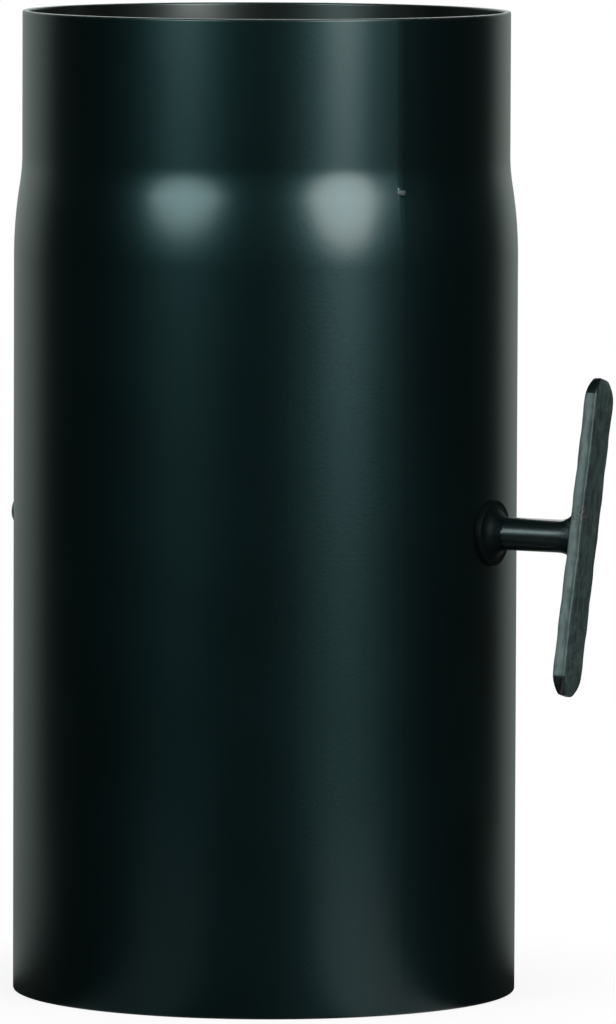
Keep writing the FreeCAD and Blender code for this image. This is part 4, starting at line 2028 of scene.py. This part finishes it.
    def _floor_material(self) -> bpy.types.Material:
        """White floor that keeps the object's shadow and fades to plain white at its edge.

        Gloss shows it as dark as the room, with a pool of light in front of each lamp.

        Returns:
            The material.
        """
        material = bpy.data.materials.new("floor_white")
        material.use_nodes = True
        graph = Graph(material.node_tree)
        place = graph.place()
        out = graph.vector_math("LENGTH", place, output="Value")
        edge = graph.step(out, *scaled(self.white_edge, self.floor_radius))
        seen = graph.term("ShaderNodeLightPath", {}, {}, "Is Camera Ray")
        gloss = graph.term("ShaderNodeLightPath", {}, {}, "Is Glossy Ray")
        direction = graph.vector_math("NORMALIZE", place)
        mirrored = self._room(graph, direction, self.floor_edge, self.wall_foot)
        for softbox in self.softboxes:
            if softbox.pool:
                near = self._towards(graph, direction, softbox.bearing, self.pool_edge)
                mirrored = graph.mix(near, mirrored, scaled(softbox.tint, softbox.pool))
        grain = graph.noise(place, self.floor_grain_mm)
        colour = graph.mix(grain, *((grey, grey, grey) for grey in self.floor_greys))
        matt = graph.term("ShaderNodeBsdfDiffuse", {}, {"Color": colour})
        white = graph.term("ShaderNodeEmission", {}, {"Color": (1.0, 1.0, 1.0), "Strength": 1.0})
        faint = graph.term("ShaderNodeEmission", {}, {"Color": mirrored, "Strength": 1.0})
        lit = graph.term("ShaderNodeMixShader", {}, {0: gloss, 1: matt, 2: faint})
        whitened = seen * edge.between(self.white_least, 1.0)
        surface = graph.term("ShaderNodeMixShader", {}, {0: whitened, 1: lit, 2: white})
        graph.node("ShaderNodeOutputMaterial", {}, {"Surface": surface})
        return material


@dataclass(frozen=True)
class PhotoCamera:
    """Camera at the photograph's place.

    Attributes:
        azimuth: angle of the camera round the pipe, from -Y towards +X.
        distance: distance from the pipe's axis, in metres.
        height: height above the floor, in metres.
        aim_right: how far to the right of the axis it aims, in metres.
        aim_height: height that it aims at, in metres.
        roll: how far its right side is tilted up.
        focal: focal length, in pixels of the image.
        sensor: width of the sensor.
        nearest: distance of the nearest thing that it shows, in metres.
    """

    azimuth: float = 28.48
    distance: float = 3.281
    height: float = 0.4163
    aim_right: float = 0.0131
    aim_height: float = 0.1466
    roll: float = 0.207
    focal: float = 10754.0
    sensor: float = 36.0
    nearest: float = 0.05

    def place(self) -> None:
        """Create the camera and make it the scene's own."""
        location = heading(self.azimuth) * self.distance
        location.z = self.height
        aim = heading(self.azimuth + 90.0) * self.aim_right
        aim.z = self.aim_height
        ahead = (aim - location).normalized()
        level = ahead.cross(Vector((0.0, 0.0, 1.0))).normalized()
        upright = level.cross(ahead)
        tilt = math.radians(self.roll)
        across = level * math.cos(tilt) + upright * math.sin(tilt)
        up = upright * math.cos(tilt) - level * math.sin(tilt)
        lens = bpy.data.cameras.new("photo_camera")
        lens.sensor_width = self.sensor
        lens.lens = self.focal / IMAGE_HEIGHT * self.sensor
        lens.clip_start = self.nearest
        camera = bpy.data.objects.new("photo_camera", lens)
        axes = Matrix((across, up, -ahead)).transposed().to_4x4()
        axes.translation = location
        camera.matrix_world = axes
        bpy.context.scene.collection.objects.link(camera)
        bpy.context.scene.camera = camera


def main() -> None:
    """Load the frame, build every piece on it, then the studio and the camera."""
    logging.basicConfig(level=logging.INFO, format="%(message)s")
    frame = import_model()
    bpy.context.scene.view_settings.view_transform = "Standard"
    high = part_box("pipe")[1] / METRES
    rod_low, rod_high = (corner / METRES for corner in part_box("spindle"))
    washer_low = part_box("thrust_washer")[0] / METRES
    spring_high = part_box("spring_washer")[1] / METRES
    end_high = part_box("end_washer")[1] / METRES
    pin_low, pin_high = (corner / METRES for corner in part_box("split_pin"))
    line = SpindleLine(height=frame["joints"][0]["pos_m"][2] / METRES)
    finishes = FinishSet.mix(high.z, line, rod_high.x)
    PipeAssembly(finishes, high.z, high.x, line.height).build()
    HandleAssembly(finishes, line, rod_low.x, rod_high.x, washer_low.x).build()
    pin_place = (pin_low.x + pin_high.x) / 2
    RetainerAssembly(finishes, line, spring_high.x, end_high.x, pin_place).build()
    PlateAssembly(finishes, line, frame["nodes"]).build()
    camera = PhotoCamera()
    Studio(camera.azimuth, Vector((0.0, 0.0, high.z * METRES * LAMP_AIM))).build()
    camera.place()


if __name__ == "__main__":
    main()
